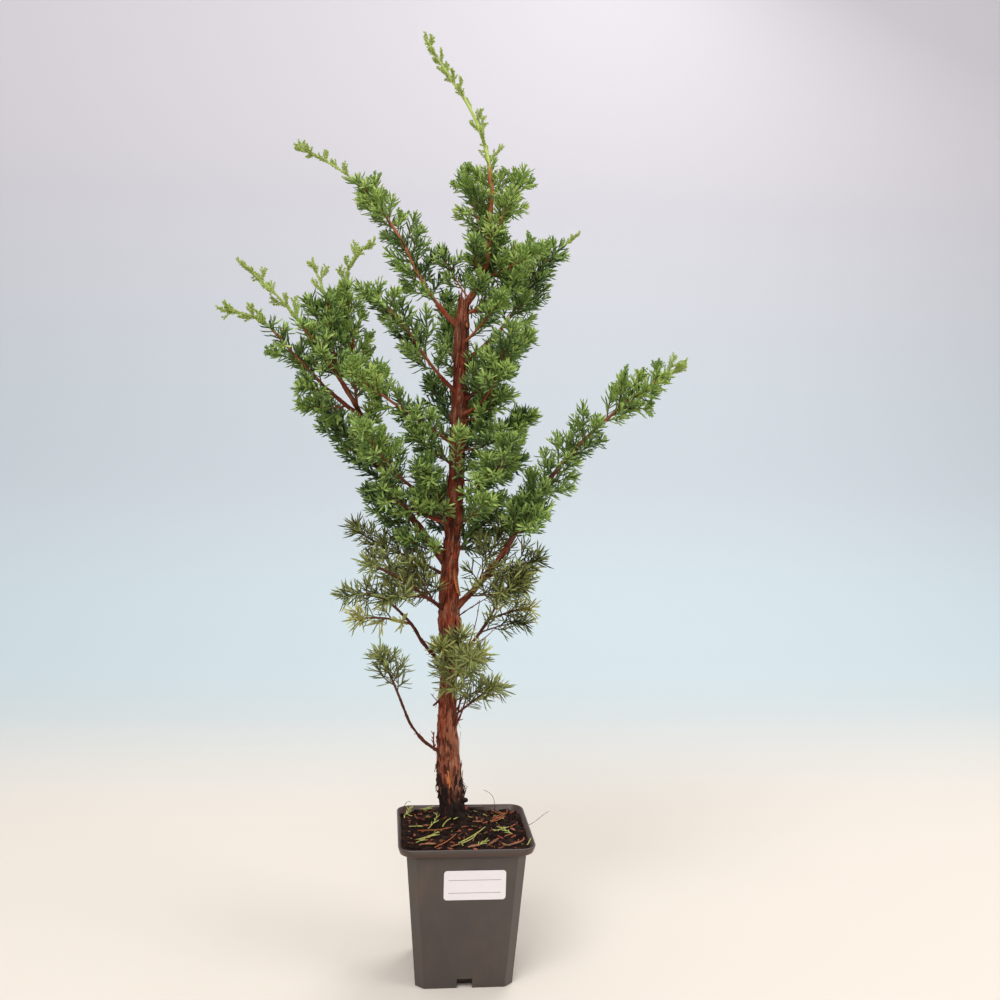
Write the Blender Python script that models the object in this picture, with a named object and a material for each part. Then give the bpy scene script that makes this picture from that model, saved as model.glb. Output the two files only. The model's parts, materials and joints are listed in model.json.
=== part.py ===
"""A young kishu juniper, trained as a pre-bonsai, in its square plastic nursery pot.

Sizes are in millimetres and are turned into metres when a mesh is made. The origin is the middle of the
pot's underside, +Z is up and the pot's labelled side faces -Y.

The tree is worked out from limb axes. Each axis leaves the trunk or another axis and bends through a few
compass and rise angles. Its bare stretch is a bough. Each clothed stretch is a mass of needles, which keeps
to its own space.
"""

import math
import random
from collections import defaultdict, namedtuple

import bmesh
import bpy
from mathutils import Matrix, Vector

MM = 0.001
SEED = 14

# Pot: a 9 cm square nursery pot
POT_HEIGHT = 98.0
FOOT_HALF = 32.4
FOOT_CORNER = 5.5
BODY_TOP_HALF = 39.4
BODY_CORNER = 6.0
SHOULDER_HEIGHT = 90.6
RIM_BOTTOM = 93.0
RIM_BOTTOM_HALF = 42.8
RIM_HALF = 45.0
RIM_CORNER = 10.0
POT_WALL = 1.2
FLOOR = 1.6
CORNER_STEPS = 4
NOTCH_WIDTH = 10.3
NOTCH_HEIGHT = 6.5
NOTCH_DEPTH = 7.0

# Label: blank, stuck to the front
LABEL_WIDTH = 40.6
LABEL_HEIGHT = 20.2
LABEL_CORNER = 2.2
LABEL_THICK = 0.3
LABEL_GAP = 0.1
LABEL_ACROSS = 5.3
LABEL_UP = 72.0

# Soil
SOIL_LEVEL = 91.8
SOIL_MOUND = 5.0
MOUND_SLOPE = 12.0
SOIL_LUMP = 0.6
SOIL_RINGS = 5
FOOTPRINT = 12.6

# Trunk: across and radius at each height. Its flat foot stands on the top of the soil's mound.
GROUND = SOIL_LEVEL + SOIL_MOUND + 0.3
TRUNK_DEPTH = 26.0
TRUNK_SIDES = 10
TRUNK_RING = 13.0
ROOT_LOBES = 5
Station = namedtuple("Station", "height across radius")
TRUNK = (
    Station(GROUND, -5.5, 9.2),
    Station(102.0, -6.0, 7.9),
    Station(115.0, -7.5, 8.6),
    Station(128.0, -9.0, 8.2),
    Station(142.0, -9.8, 7.4),
    Station(155.0, -10.5, 6.8),
    Station(170.0, -10.8, 6.0),
    Station(185.0, -11.0, 5.3),
    Station(205.0, -10.5, 5.2),
    Station(222.0, -10.5, 6.0),
    Station(233.0, -10.5, 7.6),
    Station(245.0, -11.0, 6.5),
    Station(260.0, -11.5, 5.9),
    Station(278.0, -10.8, 5.4),
    Station(298.0, -9.0, 5.2),
    Station(318.0, -8.2, 5.5),
    Station(345.0, -7.0, 4.8),
    Station(365.0, -6.8, 4.6),
    Station(385.0, -6.2, 5.1),
    Station(400.0, -5.6, 4.8),
    Station(422.0, -5.6, 4.5),
    Station(440.0, -5.4, 4.7),
    Station(452.0, -4.2, 3.4),
)
TRUNK_TOP = TRUNK[-1].height
# Dead wood on the trunk: height, compass angle, rise, length and radius
Snag = namedtuple("Snag", "height toward rise length radius")
SNAGS = (
    Snag(112.0, -30.0, 22.0, 4.0, 3.0),
    Snag(133.0, 195.0, 66.0, 15.0, 1.5),
    Snag(184.0, 190.0, -40.0, 8.0, 1.0),
    Snag(386.0, -20.0, 30.0, 8.0, 2.0),
    Snag(447.0, -5.0, 12.0, 10.0, 1.6),
)

# Limbs. An axis leaves its parent at a height of the trunk or a fraction of another axis. Its compass angles
# (0 = +X, 90 = +Y) and rise angles (90 = upright, more leans back) are spread evenly along it.
CLEAR = 0.3
LIMB_SIDES = 6
LIMB_STEP = 11.0
CORE_RADIUS = 2.0
SHOOT_RADIUS = 1.1
FOOT_RUN = 12.0
# A mass: the stretch of the axis it clothes, how far it reaches round it, and where a bare shoot begins
Mass = namedtuple("Mass", "name start end reach shoot look")
Axis = namedtuple("Axis", "name parent at toward rise length foot tip bare masses")

AXES = (
    Axis("leader", "trunk", 452.5, (158, 163, 176, 185, 186, 187), (136, 94, 92, 71, 52, 57), 190, 2.7, 0.8,
         0.07, (
        Mass("leader_middle", 0.07, 0.27, 22, 1, "mid"),
        Mass("leader_top", 0.27, 1, 24, 0.33, "bright"),
    )),
    Axis("leader_right", "leader", 0.125, (-35, -35, -35), (0, 29, 23), 45, 1.3, 0.8, 0, (
        Mass("leader_right_mass", 0, 1, 17, 1, "bright"),
    )),
    Axis("right_bough", "trunk", 240.0, (-16, -26, -20, -30), (42, 62, 45, 30), 236, 3.4, 0.8, 0.27, (
        Mass("right_lower", 0.27, 0.5, 21, 1, "mid"),
        Mass("right_middle", 0.5, 0.7, 18, 1, "mid"),
        Mass("right_outer", 0.7, 1, 20, 0.8, "bright"),
    )),
    Axis("right_inner", "right_bough", 0.146, (-4, -4, -4), (26, 20, 9), 40, 1.2, 0.8, 0, (
        Mass("right_inner_mass", 0, 1, 20, 1, "olive"),
    )),
    Axis("left_main", "trunk", 272.0, (180, 196, 221, 226, 202, 191), (52, 53, 65, 47, 51, 34), 250, 4.2,
         0.8, 0.6, (
        Mass("left_tip", 0.6, 1, 16, 0.5, "mid"),
    )),
    Axis("left_outer", "left_main", 0.5, (210, 214, 216, 210), (28, 41, 43, -6), 119, 1.9, 0.8, 0.3, (
        Mass("left_outer_mass", 0.3, 1, 17, 0.6, "mid"),
    )),
    Axis("left_crest", "left_main", 0.52, (-18, -18, -17, -11, -1), (100, 90, 104, 87, 21), 114, 1.3, 0.8,
         0, (
        Mass("left_crest_mass", 0, 1, 17, 0.7, "bright"),
    )),
    Axis("left_crest_low", "left_main", 0.625, (195, 195, 193), (77, 83, 61), 73, 1.3, 0.8, 0, (
        Mass("left_crest_low_mass", 0, 1, 16, 0.7, "dark"),
    )),
    Axis("left_front", "trunk", 355.0, (220, 215, 224), (29, 27, 30), 103, 1.6, 0.8, 0, (
        Mass("left_front_inner", 0, 0.5, 17, 1, "mid"),
        Mass("left_front_outer", 0.5, 1, 18, 1, "bright"),
    )),
    Axis("left_under", "left_main", 0.23, (183, 185, 186), (62, 40, 61), 90, 1.6, 0.8, 0, (
        Mass("left_under_mass", 0, 1, 23, 1, "dark"),
    )),
    Axis("left_fore", "trunk", 316.0, (211, 225, 239), (9, 36, 42), 105, 1.7, 0.8, 0.38, (
        Mass("left_fore_mass", 0.38, 1, 19, 1, "mid"),
    )),
    Axis("left_stub", "trunk", 303.0, (209, 218, 222), (12, 21, 32), 69, 2.0, 0.8, 0.35, (
        Mass("left_stub_mass", 0.35, 1, 16, 1, "mid"),
    )),
    Axis("left_upper", "trunk", 435.5, (172, 162, 157, 183), (41, 64, 46, 18), 173, 1.8, 0.8, 0.13, (
        Mass("left_upper_low", 0.13, 0.45, 20, 1, "mid"),
        Mass("left_upper_top", 0.45, 1, 17, 0.5, "bright"),
    )),
    Axis("left_middle", "trunk", 390.5, (217, 221, 209), (33, 48, 23), 105, 1.6, 0.8, 0.2, (
        Mass("left_middle_mass", 0.2, 1, 23, 1, "mid"),
    )),
    Axis("left_neck", "trunk", 369.0, (130, 132), (38, 59), 44, 1.3, 0.8, 0, (
        Mass("left_neck_mass", 0, 1, 15, 1, "dark"),
    )),
    Axis("right_upper", "trunk", 413.0, (13, 26, 21), (31, 60, 36), 125, 1.8, 0.8, 0.3, (
        Mass("right_upper_mass", 0.3, 1, 23, 0.85, "mid"),
    )),
    Axis("right_neck", "trunk", 425.0, (-51, -54), (30, 45), 47, 1.3, 0.8, 0, (
        Mass("right_neck_mass", 0, 1, 15, 1, "mid"),
    )),
    Axis("right_high", "trunk", 377.5, (-40, -61, -67), (12, 54, 63), 82, 1.7, 0.8, 0.22, (
        Mass("right_high_mass", 0.22, 1, 22, 1, "mid"),
    )),
    Axis("right_crown", "trunk", 319.0, (-48, -57, -73), (22, 32, 47), 77, 1.6, 0.8, 0, (
        Mass("right_crown_mass", 0, 1, 21, 1, "mid"),
    )),
    Axis("right_crown_low", "trunk", 281.0, (36, 39, 44), (20, 43, 43), 60, 1.5, 0.8, 0, (
        Mass("right_crown_low_mass", 0, 1, 20, 1, "dark"),
    )),
    Axis("low_left_top", "trunk", 265.0, (162, 156, 153), (28, 17, 31), 79, 1.5, 0.8, 0, (
        Mass("low_left_top_mass", 0, 1, 18, 1, "olive"),
    )),
    Axis("low_left", "trunk", 241.0, (223, 220, 230), (29, 32, 17), 89, 1.9, 0.8, 0.45, (
        Mass("low_left_mass", 0.45, 1, 17, 1, "olive"),
    )),
    Axis("low_left_under", "trunk", 204.0, (207, 193, 185, 184), (27, 60, 37, -21), 95, 1.8, 0.8, 0.58, (
        Mass("low_left_under_mass", 0.58, 1, 13, 1, "olive"),
    )),
    Axis("yellow_tuft", "low_left_under", 0.44, (210, 218), (22, -3), 46, 1.0, 0.8, 0, (
        Mass("yellow_tuft_mass", 0, 1, 11, 1, "yellow"),
    )),
    Axis("lowest_left", "trunk", 140.0, (205, 220, 236), (23, 65, 54), 103, 1.6, 0.8, 0.6, (
        Mass("lowest_left_mass", 0.6, 1, 17, 1, "olive"),
    )),
    Axis("front_tuft", "trunk", 185.0, (279, 281), (32, 31), 71, 1.4, 0.8, 0, (
        Mass("front_tuft_mass", 0, 1, 20, 1, "olive"),
    )),
    Axis("low_right_twig", "trunk", 164.0, (-43, -55), (39, 34), 52, 1.1, 0.8, 0, (
        Mass("low_right_twig_mass", 0, 1, 10, 1, "olive"),
    )),
    Axis("low_right", "trunk", 201.5, (34, 35, 35), (32, 45, 64), 71, 1.7, 0.8, 0.7, (
        Mass("low_right_mass", 0.7, 1, 13, 1, "olive"),
    )),
    Axis("low_right_tips", "low_right", 0.66, (-15, -12), (27, 10), 31, 1.0, 0.8, 0, (
        Mass("low_right_tips_mass", 0, 1, 13, 1, "yellow"),
    )),
    Axis("back_low", "trunk", 292.0, (112, 100), (34, 46), 82, 1.6, 0.8, 0, (
        Mass("back_low_mass", 0, 1, 20, 1, "dark"),
    )),
    Axis("back_middle", "trunk", 343.0, (64, 78), (38, 48), 88, 1.6, 0.8, 0, (
        Mass("back_middle_mass", 0, 1, 21, 1, "mid"),
    )),
    Axis("back_high", "trunk", 400.0, (104, 92), (42, 60), 80, 1.5, 0.8, 0, (
        Mass("back_high_mass", 0, 1, 18, 1, "mid"),
    )),
    Axis("front_middle", "trunk", 330.0, (262, 275), (28, 50), 58, 1.3, 0.8, 0, (
        Mass("front_middle_mass", 0, 1, 16, 1, "mid"),
    )),
)

# Twigs and needles. A needle here stands for a tuft and is larger than life.
GOLDEN = math.radians(137.5)
TWIG_EVERY = 11.4
TWIG_SPREAD = math.radians(54.0)
TWIG_LIFT = 0.22
TWIG_RADIUS = 1.6
TWIG_BARE = 0.3
WHORL_EVERY = 11.0
WHORL_LENGTH = 3.0
WHORL_TURN = math.radians(25.0)
NEEDLE_LENGTH = 16.5
NEEDLE_WIDTH = 1.8
NEEDLE_LEAN = math.radians(54.0)
STEM_WHORL_EVERY = 14.0
SLIM_REACH = 20.0
CORD_LENGTH = 10.0
CORD_LEAN = math.radians(35.0)
CORD_EVERY = 10.5
BEAD = 1.2
CELL = 6.0

# Colours, roughness
LOOKS = {
    "pot": ((0.030, 0.028, 0.027), 0.42),
    "soil": ((0.020, 0.014, 0.011), 0.95),
    "label": ((0.86, 0.84, 0.84), 0.45),
    "bark": ((0.160, 0.052, 0.030), 0.85),
    "dark": ((0.030, 0.075, 0.026), 0.60),
    "mid": ((0.055, 0.130, 0.036), 0.60),
    "bright": ((0.105, 0.235, 0.045), 0.60),
    "olive": ((0.095, 0.130, 0.060), 0.60),
    "yellow": ((0.300, 0.310, 0.090), 0.60),
}


# Scene and materials


def clear_scene():
    """Removes the start-up objects."""
    for obj in list(bpy.data.objects):
        bpy.data.objects.remove(obj, do_unlink=True)


def paint(obj, look):
    """Gives the object its own material in one of the named looks."""
    colour, rough = LOOKS[look]
    material = bpy.data.materials.new(f"{obj.name}_{look}")
    material.use_nodes = True
    shader = material.node_tree.nodes["Principled BSDF"]
    shader.inputs["Base Color"].default_value = (*colour, 1.0)
    shader.inputs["Roughness"].default_value = rough
    shader.inputs["Metallic"].default_value = 0.0
    obj.data.materials.clear()
    obj.data.materials.append(material)


def add_object(name, points, faces):
    """Makes an object from points in millimetres."""
    mesh = bpy.data.meshes.new(name)
    mesh.from_pydata([Vector(point) * MM for point in points], [], faces)
    mesh.update()
    obj = bpy.data.objects.new(name, mesh)
    bpy.context.scene.collection.objects.link(obj)
    return obj


# Shapes


def carried_frames(points, tangents=None):
    """Two normals at each point of a path, carried along it without twisting."""
    last = len(points) - 1
    if not tangents:
        tangents = [(points[min(i + 1, last)] - points[max(i - 1, 0)]).normalized() for i in range(last + 1)]
    side = tangents[0].cross(Vector((0.0, 1.0, 0.0)))
    if side.length < 0.1:
        side = tangents[0].cross(Vector((1.0, 0.0, 0.0)))
    side.normalize()
    frames = []
    for i, tangent in enumerate(tangents):
        if i:
            side = (tangents[i - 1].rotation_difference(tangent) @ side).normalized()
        frames.append((side, tangent.cross(side).normalized()))
    return frames


def tube(points, radii, sides, shape=None, tangents=None):
    """Points and faces of a closed tube. shape(i, turn) multiplies the radius at ring i."""
    rings = []
    for i, (centre, (side, up)) in enumerate(zip(points, carried_frames(points, tangents))):
        for k in range(sides):
            turn = 2 * math.pi * k / sides
            radius = radii[i] * (shape(i, turn) if shape else 1.0)
            rings.append(centre + radius * (math.cos(turn) * side + math.sin(turn) * up))
    faces = []
    for i in range(len(points) - 1):
        for k in range(sides):
            a, b = i * sides + k, i * sides + (k + 1) % sides
            faces.append((a, b, b + sides, a + sides))
    faces.append(tuple(reversed(range(sides))))
    faces.append(tuple(range(len(rings) - sides, len(rings))))
    return rings, faces


def square_ring(half, corner, roundness, z):
    """A square outline whose corners run from a flat chamfer (0) to a quarter circle (1)."""
    points = []
    for quarter in range(4):
        turn = Matrix.Rotation(quarter * math.pi / 2, 2)
        for k in range(CORNER_STEPS + 1):
            angle = math.pi / 2 * k / CORNER_STEPS
            arc = Vector((math.cos(angle), math.sin(angle)))
            chord = Vector((1, 0)).lerp(Vector((0, 1)), k / CORNER_STEPS)
            flat = Vector((half - corner, half - corner)) + corner * chord.lerp(arc, roundness)
            flat.rotate(turn)
            points.append(Vector((flat.x, flat.y, z)))
    return points


def loft(rings):
    """Points and faces through rings of equal count, closed at both ends."""
    count = len(rings[0])
    faces = []
    for i in range(len(rings) - 1):
        for k in range(count):
            a, b = i * count + k, i * count + (k + 1) % count
            faces.append((a, b, b + count, a + count))
    faces.append(tuple(reversed(range(count))))
    faces.append(tuple(range(len(rings) * count - count, len(rings) * count)))
    return [point for ring in rings for point in ring], faces


def box(low, high):
    """Points and faces of an upright box."""
    points = [Vector((x, y, z)) for z in (low[2], high[2]) for x, y in (
        (low[0], low[1]), (high[0], low[1]), (high[0], high[1]), (low[0], high[1]))]
    return points, [(3, 2, 1, 0), (4, 5, 6, 7), (0, 1, 5, 4), (1, 2, 6, 5), (2, 3, 7, 6), (3, 0, 4, 7)]


def combine(obj, operation, shapes, solver="EXACT"):
    """Joins shapes to the object, or cuts them from it, with one Boolean on a collection, and applies it.

    The many crossing twigs of a mass are joined with MANIFOLD, which leaves no sealed scraps between them.
    """
    group = bpy.data.collections.new(obj.name + "_pieces")
    bpy.context.scene.collection.children.link(group)
    for number, (points, faces) in enumerate(shapes):
        piece = add_object(f"{obj.name}_piece_{number}", points, faces)
        bpy.context.scene.collection.objects.unlink(piece)
        group.objects.link(piece)
    modifier = obj.modifiers.new("combine", "BOOLEAN")
    modifier.operation = operation
    modifier.operand_type = "COLLECTION"
    modifier.collection = group
    modifier.solver = solver
    graph = bpy.context.evaluated_depsgraph_get()
    mesh = bpy.data.meshes.new_from_object(obj.evaluated_get(graph))
    obj.modifiers.clear()
    old = obj.data
    obj.data = mesh
    bpy.data.meshes.remove(old)
    mesh.name = obj.name
    for piece in list(group.objects):
        bpy.data.objects.remove(piece, do_unlink=True)
    bpy.data.collections.remove(group)


def keep_largest(obj):
    """Keeps the object's largest closed body, which drops loose scraps and sealed hollows."""
    work = bmesh.new()
    work.from_mesh(obj.data)
    bmesh.ops.triangulate(work, faces=work.faces)
    bodies = []
    waiting = set(work.faces)
    while waiting:
        body = {waiting.pop()}
        edge_of = list(body)
        while edge_of:
            face = edge_of.pop()
            for edge in face.edges:
                for other in edge.link_faces:
                    if other in waiting:
                        waiting.discard(other)
                        body.add(other)
                        edge_of.append(other)
        bodies.append(body)
    bodies.sort(key=lambda body: -abs(body_volume(body)))
    bmesh.ops.delete(work, geom=[face for body in bodies[1:] for face in body], context="FACES")
    work.to_mesh(obj.data)
    work.free()


def body_volume(faces):
    """Six times the volume inside a set of triangles."""
    total = 0.0
    for face in faces:
        a, b, c = (vert.co for vert in face.verts)
        total += a.dot(b.cross(c))
    return total


# Pot, soil and label


def wall_half(z):
    """Half-width of the pot's outside at a height below the shoulder."""
    return FOOT_HALF + (BODY_TOP_HALF - FOOT_HALF) * z / SHOULDER_HEIGHT


def notch_boxes(wall):
    """The recess at the foot of each side, grown by a wall's thickness."""
    low = -1.0 if wall == 0.0 else FLOOR / 2
    shapes = []
    for quarter in range(4):
        points, faces = box(
            (-NOTCH_WIDTH / 2 - wall, FOOT_HALF - NOTCH_DEPTH - wall, low),
            (NOTCH_WIDTH / 2 + wall, FOOT_HALF + (3.0 if wall == 0.0 else -0.4), NOTCH_HEIGHT + wall),
        )
        turn = Matrix.Rotation(quarter * math.pi / 2, 3, "Z")
        shapes.append(([turn @ point for point in points], faces))
    return shapes


def build_pot():
    """A tapering body with chamfered corners, a shoulder and a round-cornered rim, open at the top."""
    rings = [
        square_ring(FOOT_HALF, FOOT_CORNER, 0.0, 0.0),
        square_ring(BODY_TOP_HALF, BODY_CORNER, 0.0, SHOULDER_HEIGHT),
        square_ring(RIM_BOTTOM_HALF, RIM_CORNER - 1.0, 0.8, RIM_BOTTOM),
        square_ring(RIM_HALF, RIM_CORNER, 1.0, POT_HEIGHT),
        square_ring(RIM_HALF - POT_WALL, RIM_CORNER - POT_WALL, 1.0, POT_HEIGHT),
        square_ring(RIM_BOTTOM_HALF - POT_WALL, RIM_CORNER - 2.0, 0.8, RIM_BOTTOM),
        square_ring(BODY_TOP_HALF - POT_WALL, BODY_CORNER - 0.5, 0.0, SHOULDER_HEIGHT - 0.8),
        square_ring(wall_half(FLOOR) - POT_WALL, FOOT_CORNER - 0.5, 0.0, FLOOR),
    ]
    pot = add_object("pot", *loft(rings))
    combine(pot, "UNION", notch_boxes(POT_WALL))
    combine(pot, "DIFFERENCE", notch_boxes(0.0))
    keep_largest(pot)
    paint(pot, "pot")


def build_soil(rng):
    """Peat that fills the pot to just under its rim, a little uneven, with a flat place under the trunk."""
    inset = POT_WALL + CLEAR
    rings = [
        square_ring(wall_half(FLOOR) - inset, FOOT_CORNER - 0.4, 0.0, FLOOR + CLEAR),
        square_ring(BODY_TOP_HALF - inset - 0.1, BODY_CORNER - 0.4, 0.0, SHOULDER_HEIGHT - 1.2),
        square_ring(BODY_TOP_HALF - 0.4, BODY_CORNER + 0.4, 0.4, SHOULDER_HEIGHT + 0.5),
    ]
    centre = Vector((TRUNK[0].across, TRUNK_DEPTH, 0.0))
    edge = rings[-1]
    for ring in range(SOIL_RINGS):
        share = 1.0 - ring / (SOIL_RINGS - 1)
        points = []
        for outer in edge:
            away = Vector((outer.x, outer.y, 0.0)) - centre
            reach = FOOTPRINT + (away.length - 0.4 - FOOTPRINT) * share
            flat = centre + away.normalized() * reach
            height = SOIL_LEVEL + SOIL_MOUND * max(0.0, 1.0 - (reach - FOOTPRINT) / MOUND_SLOPE)
            if 0.0 < share:
                height += rng.uniform(-SOIL_LUMP, SOIL_LUMP) * (0.3 if ring == 0 else 1.0)
            points.append(Vector((flat.x, flat.y, height)))
        rings.append(points)
    soil = add_object("soil", *loft(rings))
    combine(soil, "DIFFERENCE", notch_boxes(POT_WALL + CLEAR))
    keep_largest(soil)
    paint(soil, "soil")


def build_label():
    """A blank sticker with rounded corners, lying along the front wall."""
    slope = math.atan2(BODY_TOP_HALF - FOOT_HALF, SHOULDER_HEIGHT)
    outline = []
    for sx, sz, start in ((1, 1, 0), (-1, 1, 90), (-1, -1, 180), (1, -1, 270)):
        for step in range(CORNER_STEPS + 1):
            angle = math.radians(start + 90 * step / CORNER_STEPS)
            outline.append((
                sx * (LABEL_WIDTH / 2 - LABEL_CORNER) + LABEL_CORNER * math.cos(angle),
                sz * (LABEL_HEIGHT / 2 - LABEL_CORNER) + LABEL_CORNER * math.sin(angle),
            ))
    rings = [[Vector((x, -depth, z)) for x, z in outline] for depth in (LABEL_GAP, LABEL_GAP + LABEL_THICK)]
    points, faces = loft(rings)
    tilt = Matrix.Rotation(slope, 3, "X")
    middle = Vector((LABEL_ACROSS, -wall_half(LABEL_UP), LABEL_UP))
    label = add_object("label", [middle + tilt @ point for point in points], faces)
    paint(label, "label")


# Trunk and limb axes


def trunk_station(z, field):
    """Reads the trunk's across or radius at a height, between its stations."""
    z = min(max(z, GROUND), TRUNK_TOP)
    for low, high in zip(TRUNK, TRUNK[1:]):
        if z <= high.height:
            share = (z - low.height) / (high.height - low.height)
            return getattr(low, field) + (getattr(high, field) - getattr(low, field)) * share
    return getattr(TRUNK[-1], field)


def trunk_point(z):
    """The trunk's axis: it leans left above the ground, then swings back and runs upright."""
    return Vector((trunk_station(z, "across"), TRUNK_DEPTH, z))


def trunk_radius(z):
    return trunk_station(z, "radius")


def trunk_tube(grow=0.0, down=0.0):
    """The trunk's shape, larger by grow all round and longer by down below the ground."""
    count = round((TRUNK_TOP - GROUND) / TRUNK_RING)
    heights = [GROUND + (TRUNK_TOP - GROUND) * i / count for i in range(count + 1)]
    points = [trunk_point(z) for z in heights]
    radii = [trunk_radius(z) + grow for z in heights]

    def lobes(i, turn):
        deep = 0.12 * math.exp((GROUND - heights[i]) / 14.0) + 0.035
        return 1.0 + deep * math.sin(ROOT_LOBES * turn + heights[i] / 40.0)

    if down:
        points[0] -= Vector((0.0, 0.0, down))
    return tube(points, radii, TRUNK_SIDES, lobes, [Vector((0.0, 0.0, 1.0))] * len(points))


def build_trunk():
    """The whole trunk to its cut top, with its dead snags fused on."""
    trunk = add_object("trunk", *trunk_tube())
    snags = []
    for snag in SNAGS:
        start = trunk_point(snag.height)
        way = heading(snag.toward, snag.rise)
        core = trunk_radius(snag.height)
        distances = (core * 0.4, core + snag.length * 0.5, core + snag.length)
        points = [start + way * distance for distance in distances]
        snags.append(tube(points, [snag.radius, snag.radius * 0.8, snag.radius * 0.5], 5))
    combine(trunk, "UNION", snags)
    keep_largest(trunk)
    paint(trunk, "bark")


def heading(toward, rise):
    """The unit vector of a compass angle and a rise angle, in degrees."""
    toward, rise = math.radians(toward), math.radians(rise)
    return Vector((math.cos(rise) * math.cos(toward), math.cos(rise) * math.sin(toward), math.sin(rise)))


def spread_value(values, share):
    """Reads a value between evenly spread stations."""
    place = share * (len(values) - 1)
    low = min(int(place), len(values) - 2)
    return values[low] + (values[low + 1] - values[low]) * (place - low)


class Limb:
    """An axis worked out: its place and radius at any fraction of its length."""

    STEPS = 48

    def __init__(self, axis, start):
        self.axis = axis
        self.places = [start]
        step = axis.length / self.STEPS
        for k in range(self.STEPS):
            share = (k + 0.5) / self.STEPS
            way = heading(spread_value(axis.toward, share), spread_value(axis.rise, share))
            self.places.append(self.places[-1] + way * step)

    def point(self, share):
        place = min(max(share, 0.0), 1.0) * self.STEPS
        low = min(int(place), self.STEPS - 1)
        return self.places[low].lerp(self.places[low + 1], place - low)

    def way(self, share):
        return (self.point(share + 0.02) - self.point(share - 0.02)).normalized()

    def radius(self, share):
        return self.axis.foot + (self.axis.tip - self.axis.foot) * share ** 0.7

    def core(self, share):
        """The radius with needles on: thick where a mass clothes the axis, thin on its bare shoot."""
        wood = self.radius(share)
        for mass in self.axis.masses:
            if mass.start <= share <= mass.end:
                along = (share - mass.start) / (mass.end - mass.start)
                thick = CORE_RADIUS if along < mass.shoot else SHOOT_RADIUS
                if mass.end == 1:
                    thick += (SHOOT_RADIUS - thick) * along ** 2
                grown = min(1.0, (share - mass.start) * self.axis.length / FOOT_RUN)
                return max(wood, SHOOT_RADIUS + (thick - SHOOT_RADIUS) * grown)
        return wood

    def tube(self, start, end, sides, grow=0.0):
        """The stretch from start to end as a tube."""
        count = max(2, round((end - start) * self.axis.length / LIMB_STEP))
        shares = [start + (end - start) * i / count for i in range(count + 1)]
        radii = [self.core(share) + grow for share in shares]
        points = [self.point(share) for share in shares]
        return tube(points, radii, sides, tangents=[self.way(share) for share in shares])

    def cutter(self):
        """The whole axis as a round tube that stands clear of the limb's own sides."""
        return self.tube(0.0, 1.0, 3 * LIMB_SIDES, CLEAR + 0.2)


def work_out_limbs():
    """Places every axis on its parent, in the order of the list."""
    limbs = {}
    for axis in AXES:
        if axis.parent == "trunk":
            start = trunk_point(min(axis.at, TRUNK_TOP + CLEAR))
        else:
            start = limbs[axis.parent].point(axis.at)
        limbs[axis.name] = Limb(axis, start)
    return limbs


def parent_cutter(limb, limbs):
    """The parent's shape grown by the clearance, which a limb's foot is cut with."""
    axis = limb.axis
    if axis.parent == "trunk":
        return trunk_tube(CLEAR, 5.0)
    return limbs[axis.parent].cutter()


# Space: beads along every solid keep the nodes clear of each other


class Space:
    """Beads of all placed solids in a grid of cells, each with the node it belongs to."""

    def __init__(self):
        self.cells = defaultdict(list)

    def cell(self, point):
        return tuple(math.floor(value / CELL) for value in point)

    def claim(self, node, start, end, first, last):
        """Strings beads of falling radius from start to end."""
        count = max(1, math.ceil((end - start).length / BEAD))
        for k in range(count + 1):
            share = k / count
            point = start.lerp(end, share)
            self.cells[self.cell(point)].append((point, first + (last - first) * share, node))

    def free(self, node, start, end, first, last):
        """Whether a tapering rod from start to end stays clear of every other node."""
        count = max(1, math.ceil((end - start).length / BEAD))
        for k in range(count + 1):
            share = k / count
            point = start.lerp(end, share)
            radius = first + (last - first) * share + CLEAR
            x, y, z = self.cell(point)
            span = 1 if radius < 2.0 else 2
            for i in range(x - span, x + span + 1):
                for j in range(y - span, y + span + 1):
                    for m in range(z - span, z + span + 1):
                        for other, size, owner in self.cells.get((i, j, m), ()):
                            if owner != node and (other - point).length < radius + size:
                                return False
        return True


def claim_limb(space, node, limb, start, end):
    """Claims the beads of a limb's stretch."""
    count = max(1, math.ceil((end - start) * limb.axis.length / BEAD))
    for k in range(count):
        a, b = (start + (end - start) * step / count for step in (k, k + 1))
        space.claim(node, limb.point(a), limb.point(b), limb.core(a) + 0.2, limb.core(b) + 0.2)


def claim_trunk(space):
    """Claims the trunk as rings of beads just inside its bark."""
    z = GROUND
    while z < TRUNK_TOP:
        radius = trunk_radius(z)
        for k in range(12):
            angle = 2 * math.pi * k / 12
            point = trunk_point(z) + Vector((math.cos(angle), math.sin(angle), 0.0)) * (radius - 1.2)
            space.cells[space.cell(point)].append((point, 1.6 + radius * 0.06, "trunk"))
        z += BEAD
    for snag in SNAGS:
        way = heading(snag.toward, snag.rise)
        start = trunk_point(snag.height)
        end = start + way * (trunk_radius(snag.height) + snag.length)
        space.claim("trunk", start, end, snag.radius, snag.radius)


class Masses:
    """Every mass's stem as points, to tell whose space a point is in."""

    def __init__(self, limbs):
        self.stems = {}
        for limb in limbs.values():
            for mass in limb.axis.masses:
                points = [limb.point(mass.start + (mass.end - mass.start) * k / 10) for k in range(11)]
                self.stems[mass.name] = (points, mass.reach)

    def owns(self, name, point):
        """Whether the point is nearer to this mass's stem, for its reach, than to any other's."""
        points, reach = self.stems[name]
        own = min((point - stem).length for stem in points) / reach
        for other, (points, reach) in self.stems.items():
            if other != name and min((point - stem).length for stem in points) / reach < own - 0.12:
                return False
        return True


# Boughs and masses of needles


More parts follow.
